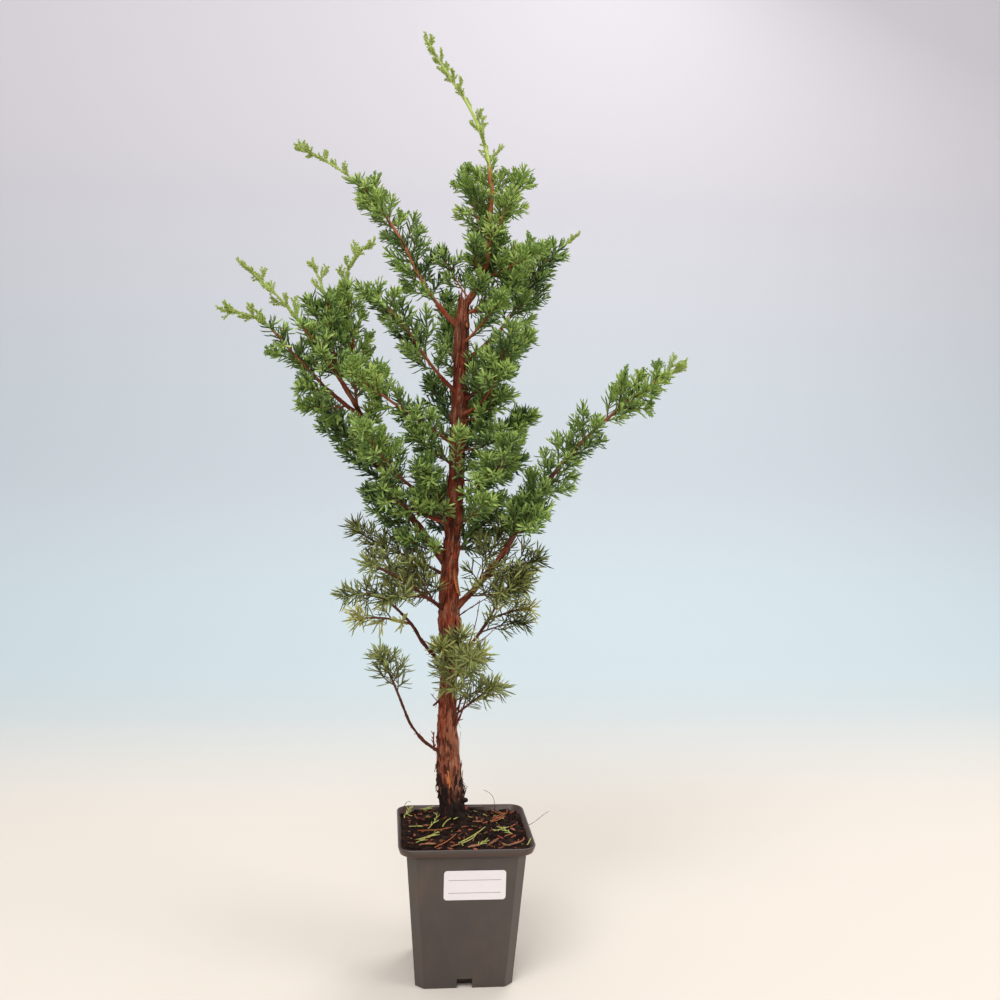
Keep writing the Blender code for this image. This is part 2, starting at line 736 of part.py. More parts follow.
def build_bough(limb, limbs):
    """The bare stretch of an axis, its foot cut to the parent's surface."""
    axis = limb.axis
    bough = add_object(axis.name, *limb.tube(0.0, axis.bare, LIMB_SIDES))
    combine(bough, "DIFFERENCE", [parent_cutter(limb, limbs)])
    keep_largest(bough)
    paint(bough, "bark")


def reach_at(mass, share, last):
    """How far the mass reaches round its stem at a fraction of its own stretch."""
    rise = min(1.0, 0.55 + share / 0.25)
    fall = 1.0 - 0.55 * share ** 2 if last else 1.0
    return mass.reach * rise * fall


def turned_out(way, roll, spread):
    """A direction turned away from way by spread, on the side that roll gives."""
    side = way.cross(Vector((0.0, 0.0, 1.0)))
    if side.length < 0.05:
        side = Vector((1.0, 0.0, 0.0))
    side.normalize()
    up = way.cross(side).normalized()
    out = math.cos(roll) * side + math.sin(roll) * up
    return (math.cos(spread) * way + math.sin(spread) * out).normalized()


def bristled(centres, radii, roll, needle, end, bare=0):
    """A three-sided stem with a whorl of six needles at each centre but the last.

    The first few centres are left out if bare. A whorl is a short band of six triangles, and a needle grows
    from each. needle(whorl, root, out, way) gives its tip, or None where there is no room. end is the stem's
    own tip.
    """
    points = []
    faces = [(2, 1, 0)]

    def ring(centre, frame, radius, turn):
        for k in range(3):
            angle = turn + math.tau * k / 3
            points.append(centre + radius * (math.cos(angle) * frame[0] + math.sin(angle) * frame[1]))
        return len(points) - 3

    def band(low, high):
        for k in range(3):
            after = (k + 1) % 3
            yield k, 1, (low + k, low + after, high + after)
            yield k, -1, (low + k, high + after, high + k)

    high = None
    for i, (centre, frame) in enumerate(zip(centres, carried_frames(centres))):
        turn = roll + i * WHORL_TURN
        low = ring(centre, frame, radii[i], turn)
        if high is not None:
            faces += [face for _, _, face in band(high, low)]
        if i == len(centres) - 1:
            break
        if i < bare:
            high = low
            continue
        way = (centres[i + 1] - centre).normalized()
        high = ring(centre + way * WHORL_LENGTH, frame, radii[i], turn)
        for k, lean, base in band(low, high):
            angle = turn + math.tau * (k + 0.5) / 3 + lean * math.tau / 12
            root = (points[base[0]] + points[base[1]] + points[base[2]]) / 3
            tip = needle(i, root, math.cos(angle) * frame[0] + math.sin(angle) * frame[1], way)
            if tip:
                points.append(tip)
                faces += [(base[n], base[(n + 1) % 3], len(points) - 1) for n in range(3)]
            else:
                faces.append(base)
    points.append(end)
    faces += [(low + k, low + (k + 1) % 3, len(points) - 1) for k in range(3)]
    return points, faces


class Growth:
    """Grows one mass: short twigs round its stem, then the stem's own needles where room is left."""

    def __init__(self, mass, limb, space, masses):
        self.mass, self.limb, self.space, self.masses = mass, limb, space, masses
        self.rng = random.Random(f"{SEED} {mass.name}")
        self.length = (mass.end - mass.start) * limb.axis.length
        self.clothed = self.length * mass.shoot
        self.last = mass.end == 1

    def share(self, distance):
        return self.mass.start + distance / self.limb.axis.length

    def has_room(self, owner, root, tip, first, last):
        return self.masses.owns(self.mass.name, tip) and self.space.free(owner, root, tip, first, last)

    def needle(self, owner, root, out, way, size, lean):
        """The tip of a needle that leans forward from its root, or None where it would touch."""
        tip = root + (math.cos(lean) * way + math.sin(lean) * out).normalized() * size
        if not self.has_room(owner, root, tip, NEEDLE_WIDTH / 2, 0.1):
            return None
        knee = root.lerp(tip, 0.25)
        self.space.claim(owner, root, knee, NEEDLE_WIDTH / 2, NEEDLE_WIDTH / 2)
        self.space.claim(owner + " needle", knee, tip, NEEDLE_WIDTH / 2, 0.1)
        return tip

    def twig(self, number, distance, roll):
        """A twig that leaves the stem, lifts a little and carries whorls of needles."""
        owner = f"{self.mass.name} twig {number}"
        share = self.share(distance)
        start, way = self.limb.point(share), self.limb.way(share)
        spread = TWIG_SPREAD * self.rng.uniform(0.85, 1.12)
        reach = reach_at(self.mass, distance / self.clothed, self.last) - NEEDLE_LENGTH * 0.35
        for shrink in (1.0, 0.8, 0.6, 0.45):
            run = max(8.0, reach * shrink / math.sin(spread))
            out = turned_out(way, roll, spread)
            middle = start + out * run * 0.5
            lifted = (out + Vector((0.0, 0.0, TWIG_LIFT))).normalized()
            tip = middle + lifted * run * 0.5
            root = start + out * (self.limb.core(share) + TWIG_RADIUS + CLEAR + 0.5) / math.sin(spread)
            if self.has_room(owner, root, middle, TWIG_RADIUS, TWIG_RADIUS) \
                    and self.has_room(owner, middle, tip, TWIG_RADIUS, 0.6):
                break
        else:
            return None
        self.space.claim(owner, start + out * self.limb.core(share), middle, TWIG_RADIUS, TWIG_RADIUS)
        self.space.claim(owner, middle, tip, TWIG_RADIUS, 0.6)
        whorls = max(2, round(run * (1.0 - TWIG_BARE) / WHORL_EVERY))
        centres = [start + out * self.limb.core(share) * 0.4]
        for k in range(whorls + 1):
            along = TWIG_BARE + (0.98 - TWIG_BARE) * k / whorls
            centres.append(start.lerp(middle, along * 2) if along < 0.5 else middle.lerp(tip, along * 2 - 1))
        radii = [TWIG_RADIUS * (1.0 - 0.35 * k / whorls) for k in range(whorls + 1)]
        radii.insert(0, TWIG_RADIUS)

        def needle(i, root, side, ahead):
            size = NEEDLE_LENGTH * self.rng.uniform(0.85, 1.1) * (1.0 - 0.25 * i / whorls)
            return self.needle(owner, root, side, ahead, size, NEEDLE_LEAN)

        return bristled(centres, radii, roll, needle, tip + lifted * 2.0, 1)

    def stem(self):
        """The mass's stem, with needles where it is clothed and short cords on its shoot."""
        start = self.mass.start + (CLEAR / self.limb.axis.length if self.mass.start > 0 else 0.0)
        count = max(2, round(self.clothed / (STEM_WHORL_EVERY * min(1.0, self.mass.reach / SLIM_REACH))))
        distances = [self.clothed * k / count for k in range(count + 1)]
        if self.mass.shoot < 1:
            more = max(2, round((self.length - self.clothed) / CORD_EVERY))
            distances += [self.clothed + (self.length - self.clothed) * k / more for k in range(1, more + 1)]
        shares = [self.share(distance) for distance in distances]
        shares[0] = start
        roll = self.rng.uniform(0.0, 2 * math.pi)
        radii = [self.limb.core(share) for share in shares]

        def needle(i, root, side, ahead):
            if i < count:
                size, lean = NEEDLE_LENGTH * self.rng.uniform(0.8, 1.0), NEEDLE_LEAN
            else:
                size, lean = CORD_LENGTH * self.rng.uniform(0.7, 1.1), CORD_LEAN
            return self.needle(self.mass.name, root, side, ahead, size, lean)

        centres = [self.limb.point(share) for share in shares]
        way = self.limb.way(shares[-1])
        if self.last:
            end = centres[-1] + way * 4.0
        else:
            centres[-1] = centres[-1] - way * CLEAR
            end = centres[-1] + way * 0.05
        return bristled(centres, radii, roll, needle, end, 1 if self.mass.start == 0 else 0)

    def shapes(self):
        roll = self.rng.uniform(0.0, 2 * math.pi)
        twigs = max(2, round(self.clothed / TWIG_EVERY))
        grown = []
        for number in range(twigs):
            roll += GOLDEN
            shape = self.twig(number, self.clothed * (0.1 + 0.86 * (number + 0.4) / twigs), roll)
            if shape:
                grown.append(shape)
        return self.stem(), grown


def build_mass(mass, limb, limbs, space, masses):
    """One mass: its stem with twigs and needles fused on, its foot clear of what it grows from."""
    stem, twigs = Growth(mass, limb, space, masses).shapes()
    obj = add_object(mass.name, *stem)
    if twigs:
        combine(obj, "UNION", twigs, "MANIFOLD")
    if mass.start == 0:
        combine(obj, "DIFFERENCE", [parent_cutter(limb, limbs)])
    keep_largest(obj)
    paint(obj, mass.look)


def main():
    clear_scene()
    rng = random.Random(SEED)
    build_pot()
    build_soil(rng)
    build_label()
    build_trunk()
    limbs = work_out_limbs()
    space = Space()
    masses = Masses(limbs)
    claim_trunk(space)
    for limb in limbs.values():
        if limb.axis.bare:
            claim_limb(space, limb.axis.name, limb, 0.0, limb.axis.bare)
        for mass in limb.axis.masses:
            claim_limb(space, mass.name, limb, mass.start, mass.end)
    for limb in limbs.values():
        if limb.axis.bare:
            build_bough(limb, limbs)
    for limb in limbs.values():
        for mass in limb.axis.masses:
            build_mass(mass, limb, limbs, space, masses)


main()
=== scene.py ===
"""Looks of a young kishu juniper in its square nursery pot, laid out as a Blender add-on.

Sizes in the tables are millimetres and become metres when a mesh is made. The tree's axes and its rule of
growth are those of the solids, carried on to finer twigs and to needles of their real size.
"""

import json
import math
import random
from collections import defaultdict, namedtuple
from functools import lru_cache

import bmesh
import bpy
import numpy as np
from bpy.props import FloatProperty, FloatVectorProperty, IntProperty, PointerProperty
from mathutils import Euler, Matrix, Vector, kdtree, noise

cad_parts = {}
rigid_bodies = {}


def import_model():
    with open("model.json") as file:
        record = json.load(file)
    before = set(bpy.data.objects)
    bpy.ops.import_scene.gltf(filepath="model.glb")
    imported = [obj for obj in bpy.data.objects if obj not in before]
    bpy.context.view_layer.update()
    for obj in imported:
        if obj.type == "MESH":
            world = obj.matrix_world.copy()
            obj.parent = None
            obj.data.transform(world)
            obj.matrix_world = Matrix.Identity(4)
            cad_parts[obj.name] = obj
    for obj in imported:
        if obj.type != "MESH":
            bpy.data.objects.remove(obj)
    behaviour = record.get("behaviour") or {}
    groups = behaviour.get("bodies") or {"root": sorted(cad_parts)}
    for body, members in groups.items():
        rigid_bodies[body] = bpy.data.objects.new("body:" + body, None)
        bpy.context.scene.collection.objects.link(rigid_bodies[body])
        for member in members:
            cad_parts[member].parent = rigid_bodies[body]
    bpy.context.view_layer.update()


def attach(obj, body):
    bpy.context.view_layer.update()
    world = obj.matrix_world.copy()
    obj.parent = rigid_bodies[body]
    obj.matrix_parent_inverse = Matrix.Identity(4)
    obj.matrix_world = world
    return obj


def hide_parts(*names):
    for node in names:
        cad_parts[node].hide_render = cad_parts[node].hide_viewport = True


bl_info = {
    "name": "Potted juniper looks",
    "version": (1, 0, 0),
    "blender": (4, 5, 0),
    "location": "3D View > Sidebar > Juniper",
    "description": "Builds the visible juniper, its pot, soil and label round the packed frame",
    "category": "Object",
}

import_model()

MM = 0.001
BODY = "root"
SEED = 14

# Pot, as in the solids
POT_HEIGHT = 98.0
FOOT_HALF = 32.4
FOOT_CORNER = 5.5
BODY_TOP_HALF = 39.4
BODY_CORNER = 6.0
SHOULDER_HEIGHT = 90.6
RIM_BOTTOM = 93.0
RIM_BOTTOM_HALF = 42.8
RIM_HALF = 45.0
RIM_CORNER = 10.0
FLOOR = 1.6
NOTCH_WIDTH = 10.3
NOTCH_HEIGHT = 6.5
NOTCH_DEPTH = 7.0
CORNER_STEPS = 8

# Label
LABEL_ACROSS = 5.3
LABEL_UP = 72.0
LABEL_CORNER = 2.2
# Its ruled lines: heights, half length and half thickness
RULES = (LABEL_UP + 3.6, LABEL_UP - 5.2)
RULE_HALF = 17.2
RULE_THIN = 0.22

# Soil
SOIL_LEVEL = 91.8
SOIL_MOUND = 5.0
SOIL_FILL = 2.0
MOUND_SLOPE = 12.0
FOOTPRINT = 12.6

# Trunk: across and radius at each height
GROUND = SOIL_LEVEL + SOIL_MOUND + 0.3
TRUNK_DEPTH = 26.0
ROOT_LOBES = 5
Station = namedtuple("Station", "height across radius")
TRUNK = (
    Station(GROUND, -5.5, 9.2),
    Station(102.0, -6.0, 7.9),
    Station(115.0, -7.5, 8.6),
    Station(128.0, -9.0, 8.2),
    Station(142.0, -9.8, 7.4),
    Station(155.0, -10.5, 6.8),
    Station(170.0, -10.8, 6.0),
    Station(185.0, -11.0, 5.3),
    Station(205.0, -10.5, 5.2),
    Station(222.0, -10.5, 6.0),
    Station(233.0, -10.5, 7.6),
    Station(245.0, -11.0, 6.5),
    Station(260.0, -11.5, 5.9),
    Station(278.0, -10.8, 5.4),
    Station(298.0, -9.0, 5.2),
    Station(318.0, -8.2, 5.5),
    Station(345.0, -7.0, 4.8),
    Station(365.0, -6.8, 4.6),
    Station(385.0, -6.2, 5.1),
    Station(400.0, -5.6, 4.8),
    Station(422.0, -5.6, 4.5),
    Station(440.0, -5.4, 4.7),
    Station(452.0, -4.2, 3.4),
)
TRUNK_TOP = TRUNK[-1].height
# Dead wood on the trunk: height, compass angle, rise, length and radius
Snag = namedtuple("Snag", "height toward rise length radius")
SNAGS = (
    Snag(107.0, -30.0, 12.0, 4.0, 2.6),
    Snag(133.0, 195.0, 66.0, 15.0, 1.5),
    Snag(184.0, 190.0, -40.0, 8.0, 1.0),
    Snag(386.0, -20.0, 30.0, 8.0, 2.0),
    Snag(447.0, -5.0, 12.0, 10.0, 1.6),
)

# Thin dead twigs: three knots of a curve, and the radius
Dead = namedtuple("Dead", "foot bend end radius")
DEAD = (
    Dead((-7, 22, 156), (-2, 19, 172), (-1, 20, 206), 0.7),
    Dead((-6, 23, 160), (0, 21, 170), (7, 22, 203), 0.8),
    Dead((-7, 20, 162), (-4, 18, 176), (-6, 18, 207), 0.55),
    Dead((-6, 27, 168), (0, 28, 180), (10, 28, 207), 0.6),
    Dead((-19, 22, 144), (-21, 23, 150), (-20, 24, 157), 0.8),
    Dead((-14, 22, 174), (-17, 21, 178), (-23, 20, 185), 0.5),
    Dead((-5, 26, 214), (10, 25, 217), (23, 26, 231), 0.5),
    Dead((-4, 24, 208), (7, 22, 220), (10, 22, 250), 0.6),
    Dead((-5, 24, 238), (5, 22, 246), (16, 22, 252), 0.6),
)

# Torn bark, raw orange underneath: height, turn, length, width and curl
Tear = namedtuple("Tear", "height turn length width curl")
TEARS = (
    Tear(272.0, -38.0, 19.0, 5.5, 2.6),
    Tear(131.0, 258.0, 9.0, 3.2, 0.6),
    Tear(126.0, 268.0, 7.0, 1.6, 1.2),
    Tear(446.0, 300.0, 9.0, 3.0, 1.6),
)

# Limbs, as in the solids: an axis leaves its parent at a height of the trunk or a fraction of another axis
Mass = namedtuple("Mass", "name start end reach shoot look")
Axis = namedtuple("Axis", "name parent at toward rise length foot tip bare masses")
AXES = (
    Axis("leader", "trunk", 452.5, (158, 163, 176, 185, 186, 187),
         (136, 94, 92, 71, 52, 57), 190, 2.7, 0.8, 0.07, (
        Mass("leader_middle", 0.07, 0.27, 22, 1, "mid"),
        Mass("leader_top", 0.27, 1, 24, 0.33, "bright"),
    )),
    Axis("leader_right", "leader", 0.125, (-35, -35, -35), (0, 29, 23), 45, 1.3, 0.8, 0, (
        Mass("leader_right_mass", 0, 1, 17, 1, "bright"),
    )),
    Axis("right_bough", "trunk", 240.0, (-16, -26, -20, -30), (42, 62, 45, 30), 236, 3.4, 0.8, 0.27, (
        Mass("right_lower", 0.27, 0.5, 21, 1, "mid"),
        Mass("right_middle", 0.5, 0.7, 18, 1, "mid"),
        Mass("right_outer", 0.7, 1, 20, 0.8, "bright"),
    )),
    Axis("right_inner", "right_bough", 0.146, (-4, -4, -4), (26, 20, 9), 40, 1.2, 0.8, 0, (
        Mass("right_inner_mass", 0, 1, 20, 1, "olive"),
    )),
    Axis("left_main", "trunk", 272.0, (180, 196, 221, 226, 202, 191),
         (52, 53, 65, 47, 51, 34), 250, 4.2, 0.8, 0.6, (
        Mass("left_tip", 0.6, 1, 16, 0.5, "mid"),
    )),
    Axis("left_outer", "left_main", 0.5, (210, 214, 216, 210), (28, 41, 43, -6), 119, 1.9, 0.8, 0.3, (
        Mass("left_outer_mass", 0.3, 1, 17, 0.6, "mid"),
    )),
    Axis("left_crest", "left_main", 0.52, (-18, -18, -17, -11, -1),
         (100, 90, 104, 87, 21), 114, 1.3, 0.8, 0, (
        Mass("left_crest_mass", 0, 1, 17, 0.7, "bright"),
    )),
    Axis("left_crest_low", "left_main", 0.625, (195, 195, 193), (77, 83, 61), 73, 1.3, 0.8, 0, (
        Mass("left_crest_low_mass", 0, 1, 16, 0.7, "dark"),
    )),
    Axis("left_front", "trunk", 355.0, (220, 215, 224), (29, 27, 30), 103, 1.6, 0.8, 0, (
        Mass("left_front_inner", 0, 0.5, 17, 1, "mid"),
        Mass("left_front_outer", 0.5, 1, 18, 1, "bright"),
    )),
    Axis("left_under", "left_main", 0.23, (183, 185, 186), (62, 40, 61), 90, 1.6, 0.8, 0, (
        Mass("left_under_mass", 0, 1, 23, 1, "dark"),
    )),
    Axis("left_fore", "trunk", 316.0, (211, 225, 239), (9, 36, 42), 105, 1.7, 0.8, 0.38, (
        Mass("left_fore_mass", 0.38, 1, 19, 1, "mid"),
    )),
    Axis("left_stub", "trunk", 303.0, (209, 218, 222), (12, 21, 32), 69, 2.0, 0.8, 0.35, (
        Mass("left_stub_mass", 0.35, 1, 16, 1, "mid"),
    )),
    Axis("left_upper", "trunk", 435.5, (172, 162, 157, 183), (41, 64, 46, 18), 173, 1.8, 0.8, 0.13, (
        Mass("left_upper_low", 0.13, 0.45, 20, 1, "mid"),
        Mass("left_upper_top", 0.45, 1, 17, 0.5, "bright"),
    )),
    Axis("left_middle", "trunk", 390.5, (217, 221, 209), (33, 48, 23), 105, 1.6, 0.8, 0.2, (
        Mass("left_middle_mass", 0.2, 1, 23, 1, "mid"),
    )),
    Axis("left_neck", "trunk", 369.0, (130, 132), (38, 59), 44, 1.3, 0.8, 0, (
        Mass("left_neck_mass", 0, 1, 15, 1, "dark"),
    )),
    Axis("right_upper", "trunk", 413.0, (13, 26, 21), (31, 60, 36), 125, 1.8, 0.8, 0.3, (
        Mass("right_upper_mass", 0.3, 1, 23, 0.85, "mid"),
    )),
    Axis("right_neck", "trunk", 425.0, (-51, -54), (30, 45), 47, 1.3, 0.8, 0, (
        Mass("right_neck_mass", 0, 1, 15, 1, "mid"),
    )),
    Axis("right_high", "trunk", 377.5, (-40, -61, -67), (12, 54, 63), 82, 1.7, 0.8, 0.22, (
        Mass("right_high_mass", 0.22, 1, 22, 1, "mid"),
    )),
    Axis("right_crown", "trunk", 319.0, (-48, -57, -73), (22, 32, 47), 77, 1.6, 0.8, 0, (
        Mass("right_crown_mass", 0, 1, 21, 1, "mid"),
    )),
    Axis("right_crown_low", "trunk", 281.0, (36, 39, 44), (20, 43, 43), 60, 1.5, 0.8, 0, (
        Mass("right_crown_low_mass", 0, 1, 20, 1, "dark"),
    )),
    Axis("low_left_top", "trunk", 265.0, (162, 156, 153), (28, 17, 31), 79, 1.5, 0.8, 0, (
        Mass("low_left_top_mass", 0, 1, 18, 1, "olive"),
    )),
    Axis("low_left", "trunk", 241.0, (223, 220, 230), (29, 32, 17), 89, 1.9, 0.8, 0.45, (
        Mass("low_left_mass", 0.45, 1, 17, 1, "olive"),
    )),
    Axis("low_left_under", "trunk", 204.0, (207, 193, 185, 184), (27, 60, 37, -21), 95, 1.8, 0.8, 0.58, (
        Mass("low_left_under_mass", 0.58, 1, 13, 1, "olive"),
    )),
    Axis("yellow_tuft", "low_left_under", 0.44, (210, 218), (22, -3), 46, 1.0, 0.8, 0, (
        Mass("yellow_tuft_mass", 0, 1, 11, 1, "yellow"),
    )),
    Axis("lowest_left", "trunk", 140.0, (205, 220, 236), (23, 65, 54), 103, 1.6, 0.8, 0.6, (
        Mass("lowest_left_mass", 0.6, 1, 17, 1, "pale"),
    )),
    Axis("front_tuft", "trunk", 185.0, (279, 281), (32, 31), 71, 1.4, 0.8, 0, (
        Mass("front_tuft_mass", 0, 1, 20, 1, "pale"),
    )),
    Axis("low_right_twig", "trunk", 164.0, (-43, -55), (39, 34), 52, 1.1, 0.8, 0, (
        Mass("low_right_twig_mass", 0, 1, 10, 1, "pale"),
    )),
    Axis("low_right", "trunk", 201.5, (34, 35, 35), (32, 45, 64), 71, 1.7, 0.8, 0.7, (
        Mass("low_right_mass", 0.7, 1, 13, 1, "olive"),
    )),
    Axis("low_right_tips", "low_right", 0.66, (-15, -12), (27, 10), 31, 1.0, 0.8, 0, (
        Mass("low_right_tips_mass", 0, 1, 13, 1, "yellow"),
    )),
    Axis("back_low", "trunk", 292.0, (112, 100), (34, 46), 82, 1.6, 0.8, 0, (
        Mass("back_low_mass", 0, 1, 20, 1, "dark"),
    )),
    Axis("back_middle", "trunk", 343.0, (64, 78), (38, 48), 88, 1.6, 0.8, 0, (
        Mass("back_middle_mass", 0, 1, 21, 1, "mid"),
    )),
    Axis("back_high", "trunk", 400.0, (104, 92), (42, 60), 80, 1.5, 0.8, 0, (
        Mass("back_high_mass", 0, 1, 18, 1, "mid"),
    )),
    Axis("front_middle", "trunk", 330.0, (262, 275), (28, 50), 58, 1.3, 0.8, 0, (
        Mass("front_middle_mass", 0, 1, 16, 1, "mid"),
    )),
)
# Side branches of the masses, too fine for the solids: each belongs to the space of the mass that it names
Side = namedtuple("Side", "owner parent at toward rise length reach look")
SIDES = (
    Side("leader_middle", "leader", 0.03, (190, 200), (50, 62), 36, 16, "mid"),
    Side("leader_middle", "leader", 0.10, (250, 262), (40, 55), 32, 14, "mid"),
    Side("leader_middle", "leader", 0.03, (282, 292), (8, 30), 24, 12, "mid"),
    Side("leader_middle", "leader", 0.08, (60, 40), (45, 60), 38, 16, "mid"),
    Side("leader_top", "leader", 0.25, (185, 172), (62, 74), 46, 15, "bright"),
    Side("leader_top", "leader", 0.28, (0, 10), (50, 70), 46, 16, "bright"),
    Side("leader_top", "leader", 0.22, (300, 330), (50, 66), 40, 15, "bright"),
    Side("leader_right_mass", "trunk", 445.0, (-30, -20), (25, 35), 44, 17, "mid"),
    Side("right_high_mass", "trunk", 405.0, (-20, -35), (10, 45), 56, 18, "mid"),
    Side("right_high_mass", "trunk", 352.0, (-15, -30), (12, 42), 58, 19, "mid"),
    Side("right_high_mass", "trunk", 372.0, (-28, -40), (14, 44), 40, 16, "mid"),
    Side("right_high_mass", "trunk", 388.0, (-8, 5), (25, 58), 44, 16, "mid"),
    Side("right_crown_mass", "trunk", 300.0, (-70, -60), (15, 35), 50, 17, "mid"),
    Side("right_crown_mass", "trunk", 332.0, (-15, -10), (5, 32), 48, 18, "mid"),
    Side("right_inner_mass", "right_bough", 0.08, (-60, -30), (5, 22), 46, 17, "olive"),
    Side("right_inner_mass", "right_bough", 0.17, (-55, -30), (-8, 10), 30, 16, "olive"),
    Side("right_inner_mass", "right_bough", 0.12, (10, -20), (72, 62), 44, 17, "olive"),
    Side("right_inner_mass", "right_bough", 0.20, (-30, -40), (-34, -20), 26, 13, "olive"),
    Side("right_lower", "right_bough", 0.31, (-70, -45), (20, 36), 34, 16, "mid"),
    Side("right_lower", "right_bough", 0.28, (60, 30), (50, 52), 38, 17, "mid"),
    Side("low_left_top_mass", "trunk", 255.0, (195, 180), (22, 10), 44, 16, "olive"),
    Side("low_left_top_mass", "low_left", 0.2, (190, 170), (60, 56), 32, 16, "olive"),
    Side("low_left_mass", "low_left", 0.25, (240, 215), (15, 0), 44, 15, "olive"),
    Side("left_stub_mass", "left_stub", 0.1, (232, 215), (36, 30), 34, 15, "mid"),
    Side("left_stub_mass", "left_main", 0.05, (228, 208), (16, 30), 36, 14, "mid"),
    Side("left_crest_mass", "left_main", 0.45, (8, -4), (78, 84), 42, 11, "bright"),
    Side("left_crest_mass", "left_crest", 0.34, (200, 190), (58, 74), 36, 14, "bright"),
    Side("left_crest_low_mass", "left_crest_low", 0.3, (165, 178), (52, 70), 30, 13, "mid"),
    Side("left_fore_mass", "left_fore", 0.1, (245, 225), (42, 36), 40, 15, "mid"),
    Side("left_under_mass", "left_main", 0.12, (200, 185), (25, 46), 50, 17, "dark"),
    Side("left_under_mass", "left_main", 0.36, (250, 225), (30, 50), 38, 15, "mid"),
    Side("left_outer_mass", "left_outer", 0.1, (190, 200), (-12, 10), 28, 12, "mid"),
    Side("left_outer_mass", "left_outer", 0.22, (240, 225), (8, 5), 26, 12, "mid"),
    Side("left_outer_mass", "left_outer", 0.26, (180, 195), (50, 40), 24, 12, "mid"),
    Side("left_front_inner", "trunk", 340.0, (225, 215), (30, 30), 50, 17, "mid"),
    Side("front_tuft_mass", "trunk", 194.0, (300, 306), (34, 30), 46, 17, "pale"),
    Side("front_tuft_mass", "trunk", 199.0, (262, 248), (36, 44), 36, 14, "pale"),
    Side("front_tuft_mass", "trunk", 202.0, (284, 290), (44, 52), 36, 14, "pale"),
    Side("low_right_twig_mass", "trunk", 176.0, (-30, -40), (30, 18), 44, 13, "pale"),
    Side("low_right_mass", "low_right", 0.5, (0, -12), (22, 10), 32, 12, "olive"),
    Side("low_right_mass", "low_right", 0.8, (-30, -20), (60, 30), 28, 13, "olive"),
)
GOLDEN = math.radians(137.5)
SIDE_FOOT, SIDE_TIP = 0.75, 0.45
# How thick stems are under their needles, and bare boughs, against their solids
STEM = 0.85
STEMS = {"leader": 1.15, "left_main": 0.8, "left_outer": 0.7, "left_crest": 0.75}
BOUGH = 0.9
SLIM = {"left_main": 0.76, "left_outer": 0.72, "right_bough": 0.74, "low_left": 0.8, "low_left_under": 0.8,
        "lowest_left": 0.75, "low_right": 0.85}
# A twig whose direction has less than this along Y may be left out, so that the stem behind it shows
FACING = -0.42
# How often it is
LEFT_OUT = 0.25
SHOWN = {"leader_middle": 0.95, "leader_top": 0.85, "front_tuft_mass": 0.0, "left_upper_low": 0.8,
         "left_middle_mass": 0.4, "left_fore_mass": 0.4, "left_stub_mass": 0.4, "low_left_mass": 0.6,
         "lowest_left_mass": 0.7}
# The photograph looks past the trunk this far to the right for each millimetre back
SIGHT = 0.061
# How many of a mass's twigs, by its look, end in forked scaly cords
SCALY = {"mid": 0.12, "bright": 0.4}
# How much further apart the twigs of a look stand than the usual ones
SPACED = {"olive": 1.4, "pale": 1.4, "yellow": 2.0}
# Masses whose twigs stand further apart than their look asks
THIN = {"front_middle_mass": 2.6, "low_right_twig_mass": 2.4,
        "front_tuft_mass": 1.35, "yellow_tuft_mass": 1.4, "left_outer_mass": 1.3, "right_crown_mass": 1.2,
        "low_right_mass": 1.35, "low_right_tips_mass": 1.3, "leader_top": 1.15}
# Masses that stand in front of the trunk
IN_FRONT = {"front_tuft_mass"}

# What lies on the peat: where it starts and ends, across and back, and how far its end is lifted
Litter = namedtuple("Litter", "kind start end lift")
LITTER = (
    Litter("sprig", (-40, 30), (-36, 38), 4),
    Litter("sprig", (-29, 42), (-21, 40), 1),
    Litter("sprig", (-37, 8), (-29, 10), 1),
    Litter("bit", (-40, 30), (-40, 26), -1),
    Litter("twig", (-31, 3), (-8, 5), 0.5),
    Litter("sprig", (-24, 3), (-17, 22), 3),
    Litter("bit", (-14, 6), (-8, 14), 1),
    Litter("bit", (-6, 15), (-3, 16), 1),
    Litter("flake", (7, 12), (14, 14), 1),
    Litter("twig", (23, 38), (31, 27), 1),
    Litter("twig", (31, 26), (20, 14), 0.5),
    Litter("twig", (20, 19), (33, 29), 2),
    Litter("twig", (22, 24), (32, 34), 1),
    Litter("sprig", (32, 7), (20, -6), 1.5),
    Litter("sprig", (33, -8), (26, 2), 1),
    Litter("twig", (27, -11), (33, -9), 0.5),
    Litter("bit", (-5, -23), (15, 2), 2),
    Litter("bit", (-3, -24), (9, -5), 1),
    Litter("sprig", (-33, -20), (-17, -3), 2),
    Litter("sprig", (-34, -14), (-20, -12), 1),
    Litter("twig", (-31, -14), (-19, -8), 1),
    Litter("flake", (-31, -27), (-20, -26), 1),
    Litter("flake", (-10, -28), (-4, -27), 1),
    Litter("sprig", (7, -28), (13, -24), 1),
    Litter("flake", (14, -29), (22, -20), 1.5),
    Litter("flake", (24, -29), (38, -25), 1.5),
    Litter("twig", (-21, -29), (-6, -15), 3),
    Litter("flake", (1, -31), (9, -29), 1),
    Litter("bit", (40, -31), (43, -25), 2),
)
# Root hairs that stand up behind the rim, each as the four knots of a curve
HAIRS = (
    ((25, 41, 94), (26, 43, 104), (23, 43, 107), (17, 43, 109)),
    ((40, 10, 94), (50, 10, 93), (53, 10, 101), (60, 10, 104)),
    ((-40, 40, 94), (-40, 40, 101), (-38, 40, 103), (-35, 40, 102)),
)
